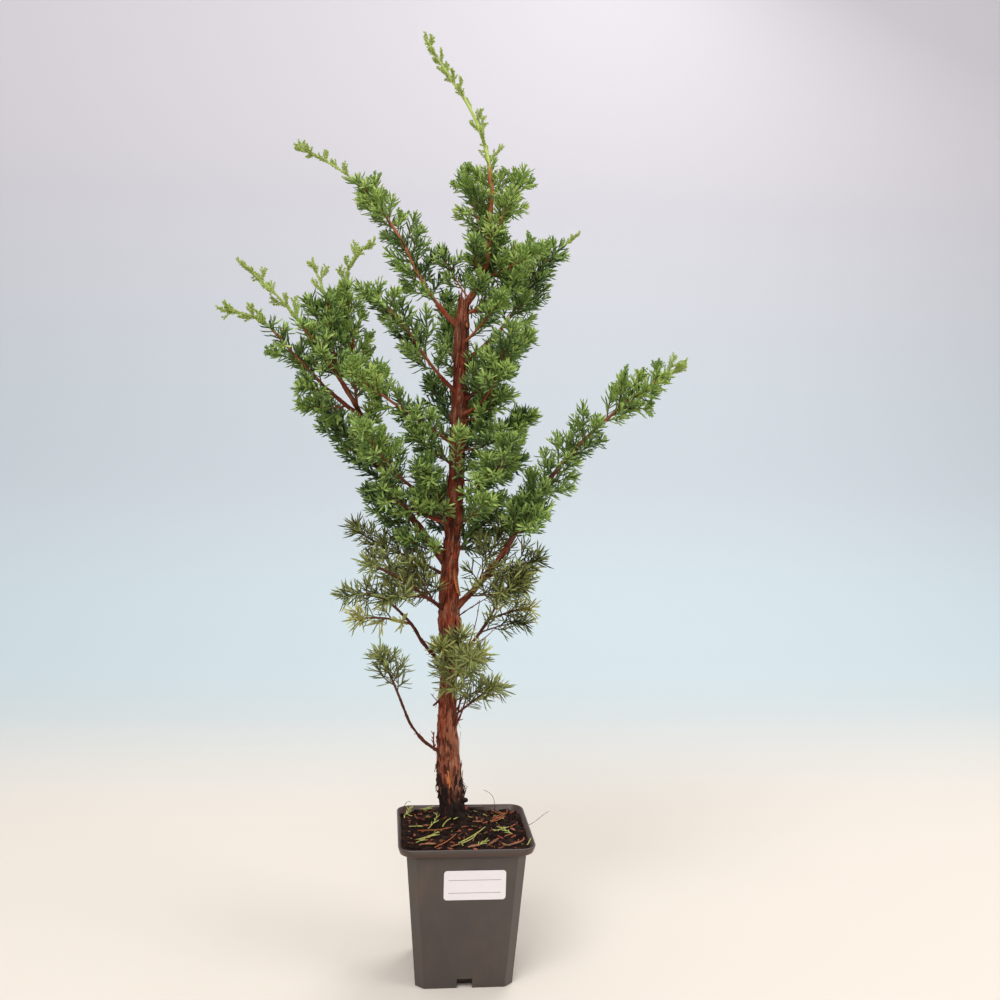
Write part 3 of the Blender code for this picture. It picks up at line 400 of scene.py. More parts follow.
# Needle kinds: what a mass's sprays are dealt, by its look
Share = namedtuple("Share", "kind tip part")
SPRAYS = {
    # The dark look is painted shade: masses that lie inside or behind the crown are dealt the darkest
    # needles.
    "dark": (Share("deep", "leaf_tips", 0.6), Share("leaf", "leaf_tips", 0.4)),
    "mid": (Share("deep", "leaf_tips", 0.32), Share("leaf", "fresh_tips", 0.45),
            Share("fresh", "fresh_tips", 0.23)),
    # The bright look is partly the young growth's own colour and partly painted light on masses in front and
    # on top.
    "bright": (Share("leaf", "fresh_tips", 0.3), Share("fresh", "lime_tips", 0.7)),
    "olive": (Share("dusk", "grey_tips", 0.5), Share("grey", "grey_tips", 0.5)),
    "pale": (Share("grey", "grey_tips", 0.8), Share("straw", "straw_tips", 0.2)),
    "yellow": (Share("grey", "straw_tips", 0.45), Share("straw", "straw_tips", 0.55)),
}
# Tips and cords: two colours and how far to go from the first to the second
Blend = namedtuple("Blend", "first second part")
BLENDS = {
    "leaf_tips": Blend("leaf", "fresh", 0.5),
    "fresh_tips": Blend("fresh", "lime", 0.3),
    "lime_tips": Blend("fresh", "lime", 0.65),
    "grey_tips": Blend("grey", "straw", 0.2),
    "straw_tips": Blend("straw", "lime", 0.2),
    "cords": Blend("fresh", "lime", 0.7),
    "scales": Blend("leaf", "fresh", 0.8),
}


# Settings


def colour_property(name, default, description):
    return FloatVectorProperty(
        name=name, description=description, default=default, subtype="COLOR", size=3, min=0.0, max=1.0)


def length_property(name, default, description):
    """A length, given here in millimetres."""
    return FloatProperty(
        name=name, description=description, default=default * MM, min=0.0, precision=5, unit="LENGTH")


def power_property(name, default, description):
    return FloatProperty(name=name, description=description, default=default, min=0.0, unit="POWER")


class PotSettings(bpy.types.PropertyGroup):
    """The square nursery pot"""
    wall: length_property("Wall", 1.2, "Thickness of the plastic")
    edge: length_property("Edge", 0.7, "Rounding of the moulded edges")
    colour: colour_property("Plastic", (0.062, 0.048, 0.043), "Dark, slightly warm plastic")
    dust: colour_property("Dust", (0.115, 0.076, 0.052), "Dried peat smeared on the wall")
    # Painted highlight: the bevelled edges of the rim and the moulded corners take this lighter colour.
    worn: colour_property("Worn edge", (0.080, 0.062, 0.054), "Plastic rubbed pale along its edges")


class LabelSettings(bpy.types.PropertyGroup):
    """The blank sticker"""
    width: length_property("Width", 40.6, "Width of the sticker")
    height: length_property("Height", 20.2, "Height of the sticker")
    thick: length_property("Thickness", 0.3, "Thickness of the sticker")
    paper: colour_property("Paper", (0.80, 0.74, 0.75), "White paper with a faint pink cast")
    ink: colour_property("Ruled lines", (0.30, 0.29, 0.30), "Thin plain lines")


class SoilSettings(bpy.types.PropertyGroup):
    """Peat and what lies on it"""
    colour: colour_property("Peat", (0.013, 0.006, 0.004), "Damp dark peat")
    dry: colour_property("Dry peat", (0.062, 0.028, 0.016), "Peat that has dried")
    clods: IntProperty(name="Clods", description="Crumbs per square metre", default=300000, min=0)
    clod: length_property("Clod", 1.7, "Usual size of a crumb")


class BarkSettings(bpy.types.PropertyGroup):
    """Bark of the trunk and boughs"""
    relief: length_property("Relief", 1.0, "Depth of the fissures on the trunk")
    strips: IntProperty(name="Strips", description="Peeling strips on the trunk", default=330, min=0)
    red: colour_property("Red brown", (0.335, 0.054, 0.023), "Older bark")
    # Tan: raised flakes and fresh bark, and also the painted lit side of the lower trunk.
    tan: colour_property("Tan", (0.460, 0.200, 0.108), "Raised flakes and fresh bark")
    # Fissure colour: dark streaks of the grain, and painted shade at the bottom of the fissures.
    deep: colour_property("Fissure", (0.050, 0.012, 0.007), "Bottom of the fissures")
    # Stained colour: soil on the trunk's foot, and also painted shade on the trunk high in the crown; the low
    # boughs and dead wood darken toward it too.
    stained: colour_property("Stained", (0.022, 0.012, 0.009), "Bark darkened by the soil")
    young: colour_property("Young bark", (0.480, 0.150, 0.045), "Orange stems high among the needles")
    raw: colour_property("Raw bark", (0.480, 0.150, 0.042), "Orange inner bark where it is torn")
    dull: colour_property("Dull stems", (0.115, 0.034, 0.017), "Red-brown stems lower down")


class FoliageSettings(bpy.types.PropertyGroup):
    """Twigs and needles"""
    twig_every: length_property("Twig spacing", 3.3, "Stem between two twigs")
    twiglet_every: length_property("Twiglet spacing", 5.3, "Twig between two twiglets")
    whorl_every: length_property("Whorl spacing", 3.2, "Twig between two whorls of three needles")
    needle_length: length_property("Needle length", 10.2, "A full-grown needle")
    needle_width: length_property("Needle width", 1.5, "A full-grown needle")
    needle_lean: FloatProperty(
        name="Needle lean", description="Angle between twig and needle",
        default=math.radians(37.0), min=0.0, max=math.pi, subtype="ANGLE")
    # Deep: the darkest needles, dealt mostly to masses of the dark look as painted shade inside and behind
    # the crown.
    deep: colour_property("Deep", (0.046, 0.100, 0.030), "Bluish needles inside the crown")
    leaf: colour_property("Leaf", (0.138, 0.230, 0.052), "Usual needles")
    fresh: colour_property("Fresh", (0.270, 0.405, 0.086), "This year's needles")
    lime: colour_property("Lime", (0.480, 0.570, 0.150), "Young shoots")
    grey: colour_property("Grey", (0.160, 0.180, 0.052), "Dusty needles low on the tree")
    dusk: colour_property("Dusk", (0.046, 0.056, 0.016), "Older needles low on the tree")
    straw: colour_property("Straw", (0.430, 0.370, 0.090), "Yellowed needles")
    bloom: colour_property("Bloom", (0.440, 0.540, 0.210), "Pale band along the upper face of a needle")
    # Bloom: the pale band along a needle's upper face, partly its own colour and partly a painted highlight.
    twig: colour_property("Twig", (0.120, 0.055, 0.022), "Bark of the twigs under the needles")
    sprig: colour_property("Sprig", (0.070, 0.095, 0.026), "Green bark of the youngest twigs")


class StageSettings(bpy.types.PropertyGroup):
    """Camera, floor and light"""
    focal: FloatProperty(name="Focal length", description="On a 36 mm sensor", default=42.48, unit="CAMERA")
    floor: colour_property("Floor", (0.665, 0.605, 0.53), "Plain pale floor")
    haze: colour_property("Haze", (0.495, 0.570, 0.590), "Foot of the backdrop")
    mist: colour_property("Mist", (0.474, 0.512, 0.540), "Backdrop behind the low boughs")
    backdrop: colour_property("Backdrop", (0.596, 0.566, 0.603), "Plain pale backdrop above the floor")
    key: power_property("Key light", 34.0, "Power of the large soft light")
    fill: power_property("Fill light", 12.5, "Power of the side lights")
    drop: power_property("Backdrop light", 16.8, "Power of the light on the backdrop")


def settings(name):
    return getattr(bpy.context.scene, "juniper_" + name)


def in_mm(value):
    return value / MM


def clamp(value):
    return min(1.0, max(0.0, value))


# Meshes


def link(obj):
    """Puts the object into the scene."""
    bpy.context.scene.collection.objects.link(obj)
    return obj


def ring_faces(rings, sides):
    """Faces between rings of points that follow one another, and over both ends."""
    faces = []
    for i in range(rings - 1):
        for k in range(sides):
            a, b = i * sides + k, i * sides + (k + 1) % sides
            faces.append((a, b, b + sides, a + sides))
    last = (rings - 1) * sides
    return [*faces, tuple(reversed(range(sides))), tuple(range(last, last + sides))]


def add_mesh(name, points, faces, material=None, smooth=False):
    """Makes an object at the origin from points in millimetres."""
    mesh = bpy.data.meshes.new(name)
    mesh.from_pydata([Vector(point) * MM for point in points], [], faces)
    mesh.update()
    if smooth:
        mesh.shade_smooth()
    if material:
        mesh.materials.append(material)
    return link(bpy.data.objects.new(name, mesh))


def set_attribute(obj, name, values, kind="FLOAT"):
    """Stores one value per point."""
    attribute = obj.data.attributes.new(name, kind, "POINT")
    field = "value" if kind == "FLOAT" else "vector"
    attribute.data.foreach_set(field, np.asarray(values, np.float32).ravel())


def apply_modifiers(obj):
    """Turns the object's evaluated shape into its own plain mesh."""
    graph = bpy.context.evaluated_depsgraph_get()
    mesh = bpy.data.meshes.new_from_object(obj.evaluated_get(graph))
    obj.modifiers.clear()
    old = obj.data
    obj.data = mesh
    bpy.data.meshes.remove(old)
    mesh.name = obj.name


def remove(obj):
    bpy.data.objects.remove(obj, do_unlink=True)


def finish_piece(obj, slot, *nodes):
    """Makes the piece ride on the body and stand for the named solids."""
    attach(obj, BODY)
    if nodes:
        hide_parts(*nodes)
    return obj


def carried_frames(points, tangents=None):
    """Two normals at each point of a path, carried along it without twisting."""
    last = len(points) - 1
    if not tangents:
        tangents = [(points[min(i + 1, last)] - points[max(i - 1, 0)]).normalized() for i in range(last + 1)]
    side = tangents[0].cross(Vector((0.0, 1.0, 0.0)))
    if side.length < 0.1:
        side = tangents[0].cross(Vector((1.0, 0.0, 0.0)))
    side.normalize()
    frames = []
    for i, tangent in enumerate(tangents):
        if i:
            side = (tangents[i - 1].rotation_difference(tangent) @ side).normalized()
        frames.append((side, tangent.cross(side).normalized()))
    return frames


class Shape:
    """Points, faces and named values per point, gathered from several bodies."""

    def __init__(self):
        self.points, self.faces = [], []
        self.values = defaultdict(list)

    def add(self, points, faces, **values):
        first = len(self.points)
        self.points += points
        self.faces += [tuple(first + corner for corner in face) for face in faces]
        for name, numbers in values.items():
            self.values[name] += numbers

    def tube(self, centres, radii, sides, tangents, surface):
        """A closed tube. surface(i, turn) gives a radius factor and the values of that point."""
        frames = carried_frames(centres, tangents)
        points, values = [], defaultdict(list)
        for i, (centre, (side, up)) in enumerate(zip(centres, frames)):
            for k in range(sides):
                turn = math.tau * k / sides
                factor, named = surface(i, turn)
                points.append(centre + radii[i] * factor * (math.cos(turn) * side + math.sin(turn) * up))
                for name, value in named.items():
                    values[name].append(value)
        self.add(points, ring_faces(len(centres), sides), **values)

    def build(self, name, material=None, smooth=True):
        obj = add_mesh(name, self.points, self.faces, material, smooth)
        for value_name, numbers in self.values.items():
            kind = "FLOAT" if isinstance(numbers[0], float) else "FLOAT_VECTOR"
            set_attribute(obj, value_name, numbers, kind)
        return obj


# Node trees


class Wiring:
    """Adds nodes to a tree and links them by the names of their sockets."""

    def __init__(self, tree):
        self.tree = tree

    def add(self, kind, inputs=None, **options):
        node = self.tree.nodes.new(kind)
        for name, value in options.items():
            setattr(node, name, value)
        for name, value in (inputs or {}).items():
            self.feed(node.inputs[name], value)
        return node

    def feed(self, socket, value):
        if isinstance(value, bpy.types.NodeSocket):
            self.tree.links.new(value, socket)
        else:
            socket.default_value = value

    def math(self, operation, first, second=0.0):
        node = self.tree.nodes.new("ShaderNodeMath")
        node.operation = operation
        self.feed(node.inputs[0], first)
        self.feed(node.inputs[1], second)
        return node.outputs[0]

    def made_real(self, geometry, material):
        """The geometry with its instances realised, in one material."""
        real = self.add("GeometryNodeRealizeInstances", {"Geometry": geometry})
        painted = self.add("GeometryNodeSetMaterial", {"Geometry": real.outputs[0], "Material": material})
        return painted.outputs[0]


def new_tree(name, kind, inputs, outputs):
    """A node tree with named inputs and outputs: (name, socket type, default) and (name, socket type)."""
    tree = bpy.data.node_groups.new(name, kind)
    for socket, socket_type, default in inputs:
        made = tree.interface.new_socket(socket, in_out="INPUT", socket_type=socket_type)
        if default is not None:
            made.default_value = default
    for socket, socket_type in outputs:
        tree.interface.new_socket(socket, in_out="OUTPUT", socket_type=socket_type)
    wiring = Wiring(tree)
    return tree, wiring, wiring.add("NodeGroupInput").outputs, wiring.add("NodeGroupOutput").inputs


def run_tree(obj, tree, **values):
    """Puts the object through a geometry tree and keeps the result as its plain mesh."""
    modifier = obj.modifiers.new(tree.name, "NODES")
    modifier.node_group = tree
    names = {item.name.replace(" ", "_").lower(): item.identifier for item in tree.interface.items_tree
             if item.item_type == "SOCKET" and item.in_out == "INPUT"}
    for name, value in values.items():
        modifier[names[name]] = value
    apply_modifiers(obj)


@lru_cache(maxsize=None)
def needle_tree():
    """Whorls of three needles along chains of edges, sized and opened by the chains' own values."""
    tree, wiring, given, out = new_tree("Needle whorls", "GeometryNodeTree", (
        ("Twigs", "NodeSocketGeometry", None),
        ("Needle", "NodeSocketObject", None),
        ("Spacing", "NodeSocketFloat", 0.002),
        ("Length", "NodeSocketFloat", 0.007),
        ("Width", "NodeSocketFloat", 0.001),
        ("Lean", "NodeSocketFloat", 0.9),
        ("Turn", "NodeSocketFloat", 1.15),
        ("Seed", "NodeSocketInt", 0),
        ("Material", "NodeSocketMaterial", None),
        ("Bloom", "NodeSocketMaterial", None),
    ), (("Needles", "NodeSocketGeometry"),))
    curve = wiring.add("GeometryNodeMeshToCurve", {"Mesh": given["Twigs"]})
    points = wiring.add(
        "GeometryNodeCurveToPoints", {"Curve": curve.outputs[0], "Length": given["Spacing"]}, mode="LENGTH")
    index = wiring.add("GeometryNodeInputIndex").outputs[0]
    kept = wiring.add(
        "GeometryNodeStoreNamedAttribute",
        {"Geometry": points.outputs["Points"], "Name": "way", "Value": points.outputs["Tangent"]},
        data_type="FLOAT_VECTOR", domain="POINT")
    numbered = wiring.add(
        "GeometryNodeStoreNamedAttribute", {"Geometry": kept.outputs[0], "Name": "whorl", "Value": index},
        data_type="INT", domain="POINT")
    three = wiring.add(
        "GeometryNodeDuplicateElements", {"Geometry": numbered.outputs[0], "Amount": 3}, domain="POINT")

    def read(name, kind="FLOAT"):
        return wiring.add("GeometryNodeInputNamedAttribute", {"Name": name}, data_type=kind).outputs[0]

    def chance(low, high, salt):
        node = wiring.add("FunctionNodeRandomValue", {
            "ID": index, "Seed": wiring.math("ADD", given["Seed"], float(salt))}, data_type="FLOAT")
        node.inputs[2].default_value = low
        node.inputs[3].default_value = high
        return node.outputs[1]

    spin = wiring.math("MULTIPLY", read("whorl", "INT"), given["Turn"])
    spin = wiring.math("ADD", spin, wiring.math("MULTIPLY", three.outputs["Duplicate Index"], math.tau / 3))
    spin = wiring.math("ADD", spin, chance(-0.35, 0.35, 1))
    lean = wiring.math("MULTIPLY", wiring.math("MULTIPLY", given["Lean"], read("open")), chance(0.78, 1.2, 2))
    way = read("way", "FLOAT_VECTOR")
    turned = wiring.add("FunctionNodeAlignRotationToVector", {"Vector": way}, axis="Z").outputs[0]
    for angle, axis in ((spin, "Z"), (lean, "X")):
        euler = wiring.add("ShaderNodeCombineXYZ", {axis: angle})
        step = wiring.add("FunctionNodeEulerToRotation", {"Euler": euler.outputs[0]})
        turned = wiring.add(
            "FunctionNodeRotateRotation", {"Rotation": turned, "Rotate By": step.outputs[0]},
            rotation_space="LOCAL").outputs[0]
    grown = wiring.math("MULTIPLY", read("vigour"), chance(0.8, 1.12, 3))
    long = wiring.math("MULTIPLY", given["Length"], grown)
    wide = wiring.math("MULTIPLY", given["Width"], wiring.math("POWER", grown, 0.4))
    size = wiring.add("ShaderNodeCombineXYZ", {"X": wide, "Y": wide, "Z": long})
    needle = wiring.add("GeometryNodeObjectInfo", {"Object": given["Needle"]}, transform_space="ORIGINAL")
    placed = wiring.add("GeometryNodeInstanceOnPoints", {
        "Points": three.outputs["Geometry"], "Instance": needle.outputs["Geometry"], "Rotation": turned,
        "Scale": size.outputs[0]})
    painted = wiring.made_real(placed.outputs[0], given["Material"])
    # The upper faces take the bloom material: the pale band, partly a painted highlight.
    banded = wiring.add("GeometryNodeSetMaterial", {
        "Geometry": painted, "Selection": read("upper", "BOOLEAN"), "Material": given["Bloom"]})
    wiring.feed(out["Needles"], banded.outputs[0])
    return tree


@lru_cache(maxsize=None)
def wood_tree():
    """Thin rods along chains of edges, as thick as the chains' own radius."""
    tree, wiring, given, out = new_tree("Twig wood", "GeometryNodeTree", (
        ("Twigs", "NodeSocketGeometry", None),
        ("Sides", "NodeSocketInt", 4),
        ("Material", "NodeSocketMaterial", None),
    ), (("Wood", "NodeSocketGeometry"),))
    curve = wiring.add("GeometryNodeMeshToCurve", {"Mesh": given["Twigs"]})
    radius = wiring.add("GeometryNodeInputNamedAttribute", {"Name": "radius"}, data_type="FLOAT").outputs[0]
    outline = wiring.add("GeometryNodeCurvePrimitiveCircle", {"Resolution": given["Sides"], "Radius": 1.0})
    rods = wiring.add("GeometryNodeCurveToMesh", {
        "Curve": curve.outputs[0], "Profile Curve": outline.outputs[0], "Scale": radius, "Fill Caps": True})
    smooth = wiring.add("GeometryNodeSetShadeSmooth", {"Geometry": rods.outputs[0], "Shade Smooth": True})
    wiring.feed(out["Wood"], wiring.made_real(smooth.outputs[0], given["Material"]))
    return tree


@lru_cache(maxsize=None)
def crumb_tree():
    """Crumbs strewn over a surface, turned and sized at random, with the surface itself left out."""
    tree, wiring, given, out = new_tree("Soil crumbs", "GeometryNodeTree", (
        ("Surface", "NodeSocketGeometry", None),
        ("Crumbs", "NodeSocketCollection", None),
        ("Density", "NodeSocketFloat", 300000.0),
        ("Smallest", "NodeSocketFloat", 0.0005),
        ("Largest", "NodeSocketFloat", 0.002),
        ("Seed", "NodeSocketInt", 0),
        ("Material", "NodeSocketMaterial", None),
    ), (("Crumbs", "NodeSocketGeometry"),))
    strewn = wiring.add("GeometryNodeDistributePointsOnFaces", {
        "Mesh": given["Surface"], "Density": given["Density"], "Seed": given["Seed"]})
    kinds = wiring.add("GeometryNodeCollectionInfo", {
        "Collection": given["Crumbs"], "Separate Children": True, "Reset Children": True})
    turn = wiring.add("FunctionNodeRandomValue", {"Seed": 3}, data_type="FLOAT_VECTOR")
    turn.inputs[1].default_value = (math.tau,) * 3
    size = wiring.add("FunctionNodeRandomValue", {"Seed": 5}, data_type="FLOAT")
    even = wiring.math("POWER", size.outputs[1], 2.2)
    span = wiring.math("SUBTRACT", given["Largest"], given["Smallest"])
    grown = wiring.math("ADD", given["Smallest"], wiring.math("MULTIPLY", even, span))
    facing = wiring.add("FunctionNodeEulerToRotation", {"Euler": turn.outputs[0]})
    placed = wiring.add("GeometryNodeInstanceOnPoints", {
        "Points": strewn.outputs["Points"], "Instance": kinds.outputs[0], "Pick Instance": True,
        "Rotation": facing.outputs[0], "Scale": grown})
    wiring.feed(out["Crumbs"], wiring.made_real(placed.outputs[0], given["Material"]))
    return tree


# Materials


@lru_cache(maxsize=None)
def grain_group():
    """Long streaks along Z of the given vector, from 0 to 1."""
    tree, wiring, given, out = new_tree("Long grain", "ShaderNodeTree", (
        ("Vector", "NodeSocketVector", None),
        ("Scale", "NodeSocketFloat", 500.0),
        ("Stretch", "NodeSocketFloat", 0.15),
        ("Low", "NodeSocketFloat", 0.35),
        ("High", "NodeSocketFloat", 0.65),
    ), (("Mask", "NodeSocketFloat"),))
    squeeze = wiring.add("ShaderNodeCombineXYZ", {"X": 1.0, "Y": 1.0, "Z": given["Stretch"]})
    along = wiring.add("ShaderNodeVectorMath", operation="MULTIPLY")
    wiring.feed(along.inputs[0], given["Vector"])
    wiring.feed(along.inputs[1], squeeze.outputs[0])
    streaks = wiring.add("ShaderNodeTexNoise", {
        "Vector": along.outputs[0], "Scale": given["Scale"], "Detail": 5.0, "Roughness": 0.6})
    mask = wiring.add("ShaderNodeMapRange", {
        "Value": streaks.outputs[0], "From Min": given["Low"], "From Max": given["High"]})
    wiring.feed(out["Mask"], mask.outputs[0])
    return tree


@lru_cache(maxsize=None)
def blotch_group():
    """Soft uneven patches, from 0 to 1."""
    tree, wiring, given, out = new_tree("Blotches", "ShaderNodeTree", (
        ("Vector", "NodeSocketVector", None),
        ("Scale", "NodeSocketFloat", 60.0),
        ("Low", "NodeSocketFloat", 0.4),
        ("High", "NodeSocketFloat", 0.65),
    ), (("Mask", "NodeSocketFloat"),))
    patches = wiring.add("ShaderNodeTexNoise", {
        "Vector": given["Vector"], "Scale": given["Scale"], "Detail": 6.0, "Roughness": 0.62})
    mask = wiring.add("ShaderNodeMapRange", {
        "Value": patches.outputs[0], "From Min": given["Low"], "From Max": given["High"]})
    wiring.feed(out["Mask"], mask.outputs[0])
    return tree


class Finish:
    """One Principled material and the nodes that feed it."""

    def __init__(self, name, colour, rough, **sockets):
        self.material = bpy.data.materials.new(name)
        self.material.use_nodes = True
        self.wiring = Wiring(self.material.node_tree)
        self.shader = self.material.node_tree.nodes["Principled BSDF"]
        self.shader.inputs["Base Color"].default_value = (*colour, 1.0)
        self.shader.inputs["Roughness"].default_value = rough
        for socket, value in sockets.items():
            self.shader.inputs[socket.replace("_", " ")].default_value = value

    def object_place(self):
        return self.wiring.add("ShaderNodeTexCoord").outputs["Object"]

    def split(self, vector):
        return self.wiring.add("ShaderNodeSeparateXYZ", {"Vector": vector}).outputs

    def math(self, operation, first, second=0.0):
        return self.wiring.math(operation, first, second)

    def ramp(self, value, low, high):
        """From 0 at low to 1 at high, eased at both ends."""
        return self.wiring.add("ShaderNodeMapRange", {
            "Value": value, "From Min": low, "From Max": high}, interpolation_type="SMOOTHSTEP").outputs[0]

    def attribute(self, name, output="Vector"):
        return self.wiring.add("ShaderNodeAttribute", attribute_name=name).outputs[output]

    def group(self, tree, **inputs):
        node = self.wiring.add("ShaderNodeGroup", node_tree=tree)
        for name, value in inputs.items():
            self.wiring.feed(node.inputs[name], value)
        return node.outputs["Mask"]

    def mix(self, mask, first, second):
        """A colour that goes from first to second with the mask."""
        node = self.wiring.add("ShaderNodeMix", data_type="RGBA")
        self.wiring.feed(node.inputs[0], mask)
        for socket, colour in ((node.inputs[6], first), (node.inputs[7], second)):
            self.wiring.feed(socket, colour if isinstance(colour, bpy.types.NodeSocket) else (*colour, 1.0))
        return node.outputs[2]

    def paint(self, colour):
        self.wiring.feed(self.shader.inputs["Base Color"], colour)

    def rough(self, mask, low, high):
        node = self.wiring.add("ShaderNodeMapRange", {"Value": mask, "To Min": low, "To Max": high})
        self.wiring.feed(self.shader.inputs["Roughness"], node.outputs[0])

    def bump(self, height, distance):
        node = self.wiring.add("ShaderNodeBump", {"Height": height, "Distance": distance})
        self.wiring.feed(self.shader.inputs["Normal"], node.outputs[0])


@lru_cache(maxsize=None)
def bark_finish():
    """Fibrous reddish bark: tan ridges, fissures darkened with painted shade, a foot stained by the soil,
    painted shade high on the trunk and a painted lit side low on it.
    """
    bark = settings("bark")
    finish = Finish("bark_fibrous", bark.red, 0.85, Specular_IOR_Level=0.2)
    grain = finish.attribute("grain")
    streaks = finish.group(grain_group(), Vector=grain, Scale=420.0, Stretch=0.1, Low=0.42, High=0.6)
    fine = finish.group(grain_group(), Vector=grain, Scale=1300.0, Stretch=0.07, Low=0.42, High=0.62)
    flakes = finish.group(blotch_group(), Vector=grain, Scale=75.0, Low=0.42, High=0.58)
    colour = finish.mix(finish.math("MULTIPLY", streaks, flakes), bark.red, bark.tan)
    # Paler toward tan: raised flakes and strips, and on the lower trunk a painted lit side.
    colour = finish.mix(finish.attribute("pale", "Fac"), colour, bark.tan)
    colour = finish.mix(finish.math("MULTIPLY", fine, 0.55), colour, bark.deep)
    # Painted shade: the bark darkens toward the fissure colour where its relief is low, in the fissures.
    depth = finish.attribute("depth", "Fac")
    colour = finish.mix(depth, colour, bark.deep)
    # Darkened toward the stained colour: soil stain at the foot, painted shade high on the trunk.
    stain = finish.attribute("stain", "Fac")
    colour = finish.mix(stain, colour, bark.stained)
    finish.paint(colour)
    finish.rough(streaks, 0.72, 0.95)
    finish.bump(fine, 0.0003)
    return finish.material


@lru_cache(maxsize=None)
def young_bark_finish():
    """Smooth orange-brown stems with darker scars, turning green on the shoots."""
    bark = settings("bark")
    finish = Finish("bark_young", bark.young, 0.6, Specular_IOR_Level=0.3)
    grain = finish.attribute("grain")
    streaks = finish.group(grain_group(), Vector=grain, Scale=900.0, Stretch=0.2, Low=0.35, High=0.65)
    colour = finish.mix(finish.attribute("warm", "Fac"), bark.dull, bark.young)
    colour = finish.mix(finish.math("MULTIPLY", streaks, 0.6), colour, bark.dull)
    colour = finish.mix(finish.attribute("green", "Fac"), colour, settings("foliage").lime)
    finish.paint(colour)
    finish.rough(streaks, 0.5, 0.7)
    finish.bump(streaks, 0.0002)
    return finish.material


@lru_cache(maxsize=None)
def plain_finish(name, colour, rough, specular=0.35):
    """One plain colour, for needles and other things too small for a pattern."""
    return Finish(name, colour, rough, Specular_IOR_Level=specular).material


# The tree's axes, as in the solids


def trunk_station(z, field):
    z = min(max(z, GROUND), TRUNK_TOP)
    for low, high in zip(TRUNK, TRUNK[1:]):
        if z <= high.height:
            share = (z - low.height) / (high.height - low.height)
            return getattr(low, field) + (getattr(high, field) - getattr(low, field)) * share
    return getattr(TRUNK[-1], field)


def trunk_point(z):
    return Vector((trunk_station(z, "across"), TRUNK_DEPTH, z))


def trunk_radius(z):
    return trunk_station(z, "radius")


def heading(toward, rise):
    """The unit vector of a compass angle and a rise angle, in degrees."""
    toward, rise = math.radians(toward), math.radians(rise)
    return Vector((math.cos(rise) * math.cos(toward), math.cos(rise) * math.sin(toward), math.sin(rise)))


def spread_value(values, share):
    place = share * (len(values) - 1)
    low = min(int(place), len(values) - 2)
    return values[low] + (values[low + 1] - values[low]) * (place - low)


class Limb:
    """An axis worked out: its place and radius at any fraction of its length."""

    STEPS = 48

    def __init__(self, axis, start):
        self.axis = axis
        self.places = [start]
        step = axis.length / self.STEPS
        for k in range(self.STEPS):
            share = (k + 0.5) / self.STEPS
            way = heading(spread_value(axis.toward, share), spread_value(axis.rise, share))
            self.places.append(self.places[-1] + way * step)

    def point(self, share):
        place = clamp(share) * self.STEPS
        low = min(int(place), self.STEPS - 1)
        return self.places[low].lerp(self.places[low + 1], place - low)

    def way(self, share):
        return (self.point(share + 0.02) - self.point(share - 0.02)).normalized()

    def radius(self, share):
        return self.axis.foot + (self.axis.tip - self.axis.foot) * share ** 0.7


@lru_cache(maxsize=None)
def limbs():
    """Every axis on its parent, and then the side branches."""
    placed = {}
    axes = list(AXES)
    for number, side in enumerate(SIDES):
        mass = Mass(side.owner, 0, 1, side.reach, 1, side.look)
        axes.append(Axis(f"{side.owner}_side_{number}", side.parent, side.at, side.toward, side.rise,
                         side.length, SIDE_FOOT, SIDE_TIP, 0, (mass,)))
    for axis in axes:
        if axis.parent == "trunk":
            start = trunk_point(min(axis.at, TRUNK_TOP))
        else:
            start = placed[axis.parent].point(axis.at)
        placed[axis.name] = Limb(axis, start)
    return placed


def turned_out(way, roll, spread):
    """A direction turned away from way by spread, on the side that roll gives."""
    side = way.cross(Vector((0.0, 0.0, 1.0)))
    if side.length < 0.05:
        side = Vector((1.0, 0.0, 0.0))
    side.normalize()
    up = way.cross(side).normalized()
    out = math.cos(roll) * side + math.sin(roll) * up
    return (math.cos(spread) * way + math.sin(spread) * out).normalized()


def reach_at(mass, share, last):
    """How far the mass reaches round its stem at a fraction of its own stretch."""
    rise = min(1.0, 0.55 + share / 0.25)
    fall = 1.0 - 0.68 * share ** 2 if last else 1.0
    return mass.reach * rise * fall


def hides_trunk(point):
    """Whether a twig's tip would stand in front of the trunk."""
    ahead = TRUNK_DEPTH - point.y
    across = point.x + SIGHT * ahead - trunk_station(point.z, "across")
    return ahead > 5.0 and point.z < TRUNK_TOP and abs(across) < trunk_radius(point.z) + 2.0


class Room:
    """Tells whose space a point is in, and keeps twigs off the trunk and the boughs."""

    def __init__(self):
        stems, wood = defaultdict(list), []
        for limb in limbs().values():
            for mass in limb.axis.masses:
                for k in range(11):
                    place = limb.point(mass.start + (mass.end - mass.start) * k / 10)
                    stems[mass.name].append((*place, mass.reach))
            wood += [(limb.point(k / 40), limb.radius(k / 40)) for k in range(41)]
        self.wood = kdtree.KDTree(len(wood))
        self.radii = [radius for _, radius in wood]
        for number, (point, _) in enumerate(wood):
            self.wood.insert(point, number)
        self.wood.balance()
        self.stems = np.array([row for rows in stems.values() for row in rows])
        self.owners = np.repeat(list(stems), [len(rows) for rows in stems.values()])

    def owns(self, name, point):
        """Whether the point is nearer to this mass's stems, for their reach, than to any other's."""
        away = np.linalg.norm(self.stems[:, :3] - np.array(point), axis=1) / self.stems[:, 3]
        return away[self.owners == name].min() <= away.min() + 0.22

    def clear(self, point, gap):
        """Whether the point is outside the trunk and off every limb."""
        if point.z < TRUNK_TOP + 4.0:
            away = (point - trunk_point(point.z)).xy.length
            if away < trunk_radius(point.z) + gap:
                return False
        _, number, away = self.wood.find(point)
        return away > self.radii[number] + gap * 0.5


# Growth: the source's rule carried on to finer twigs


Chain = namedtuple("Chain", "points vigour open radii mass")


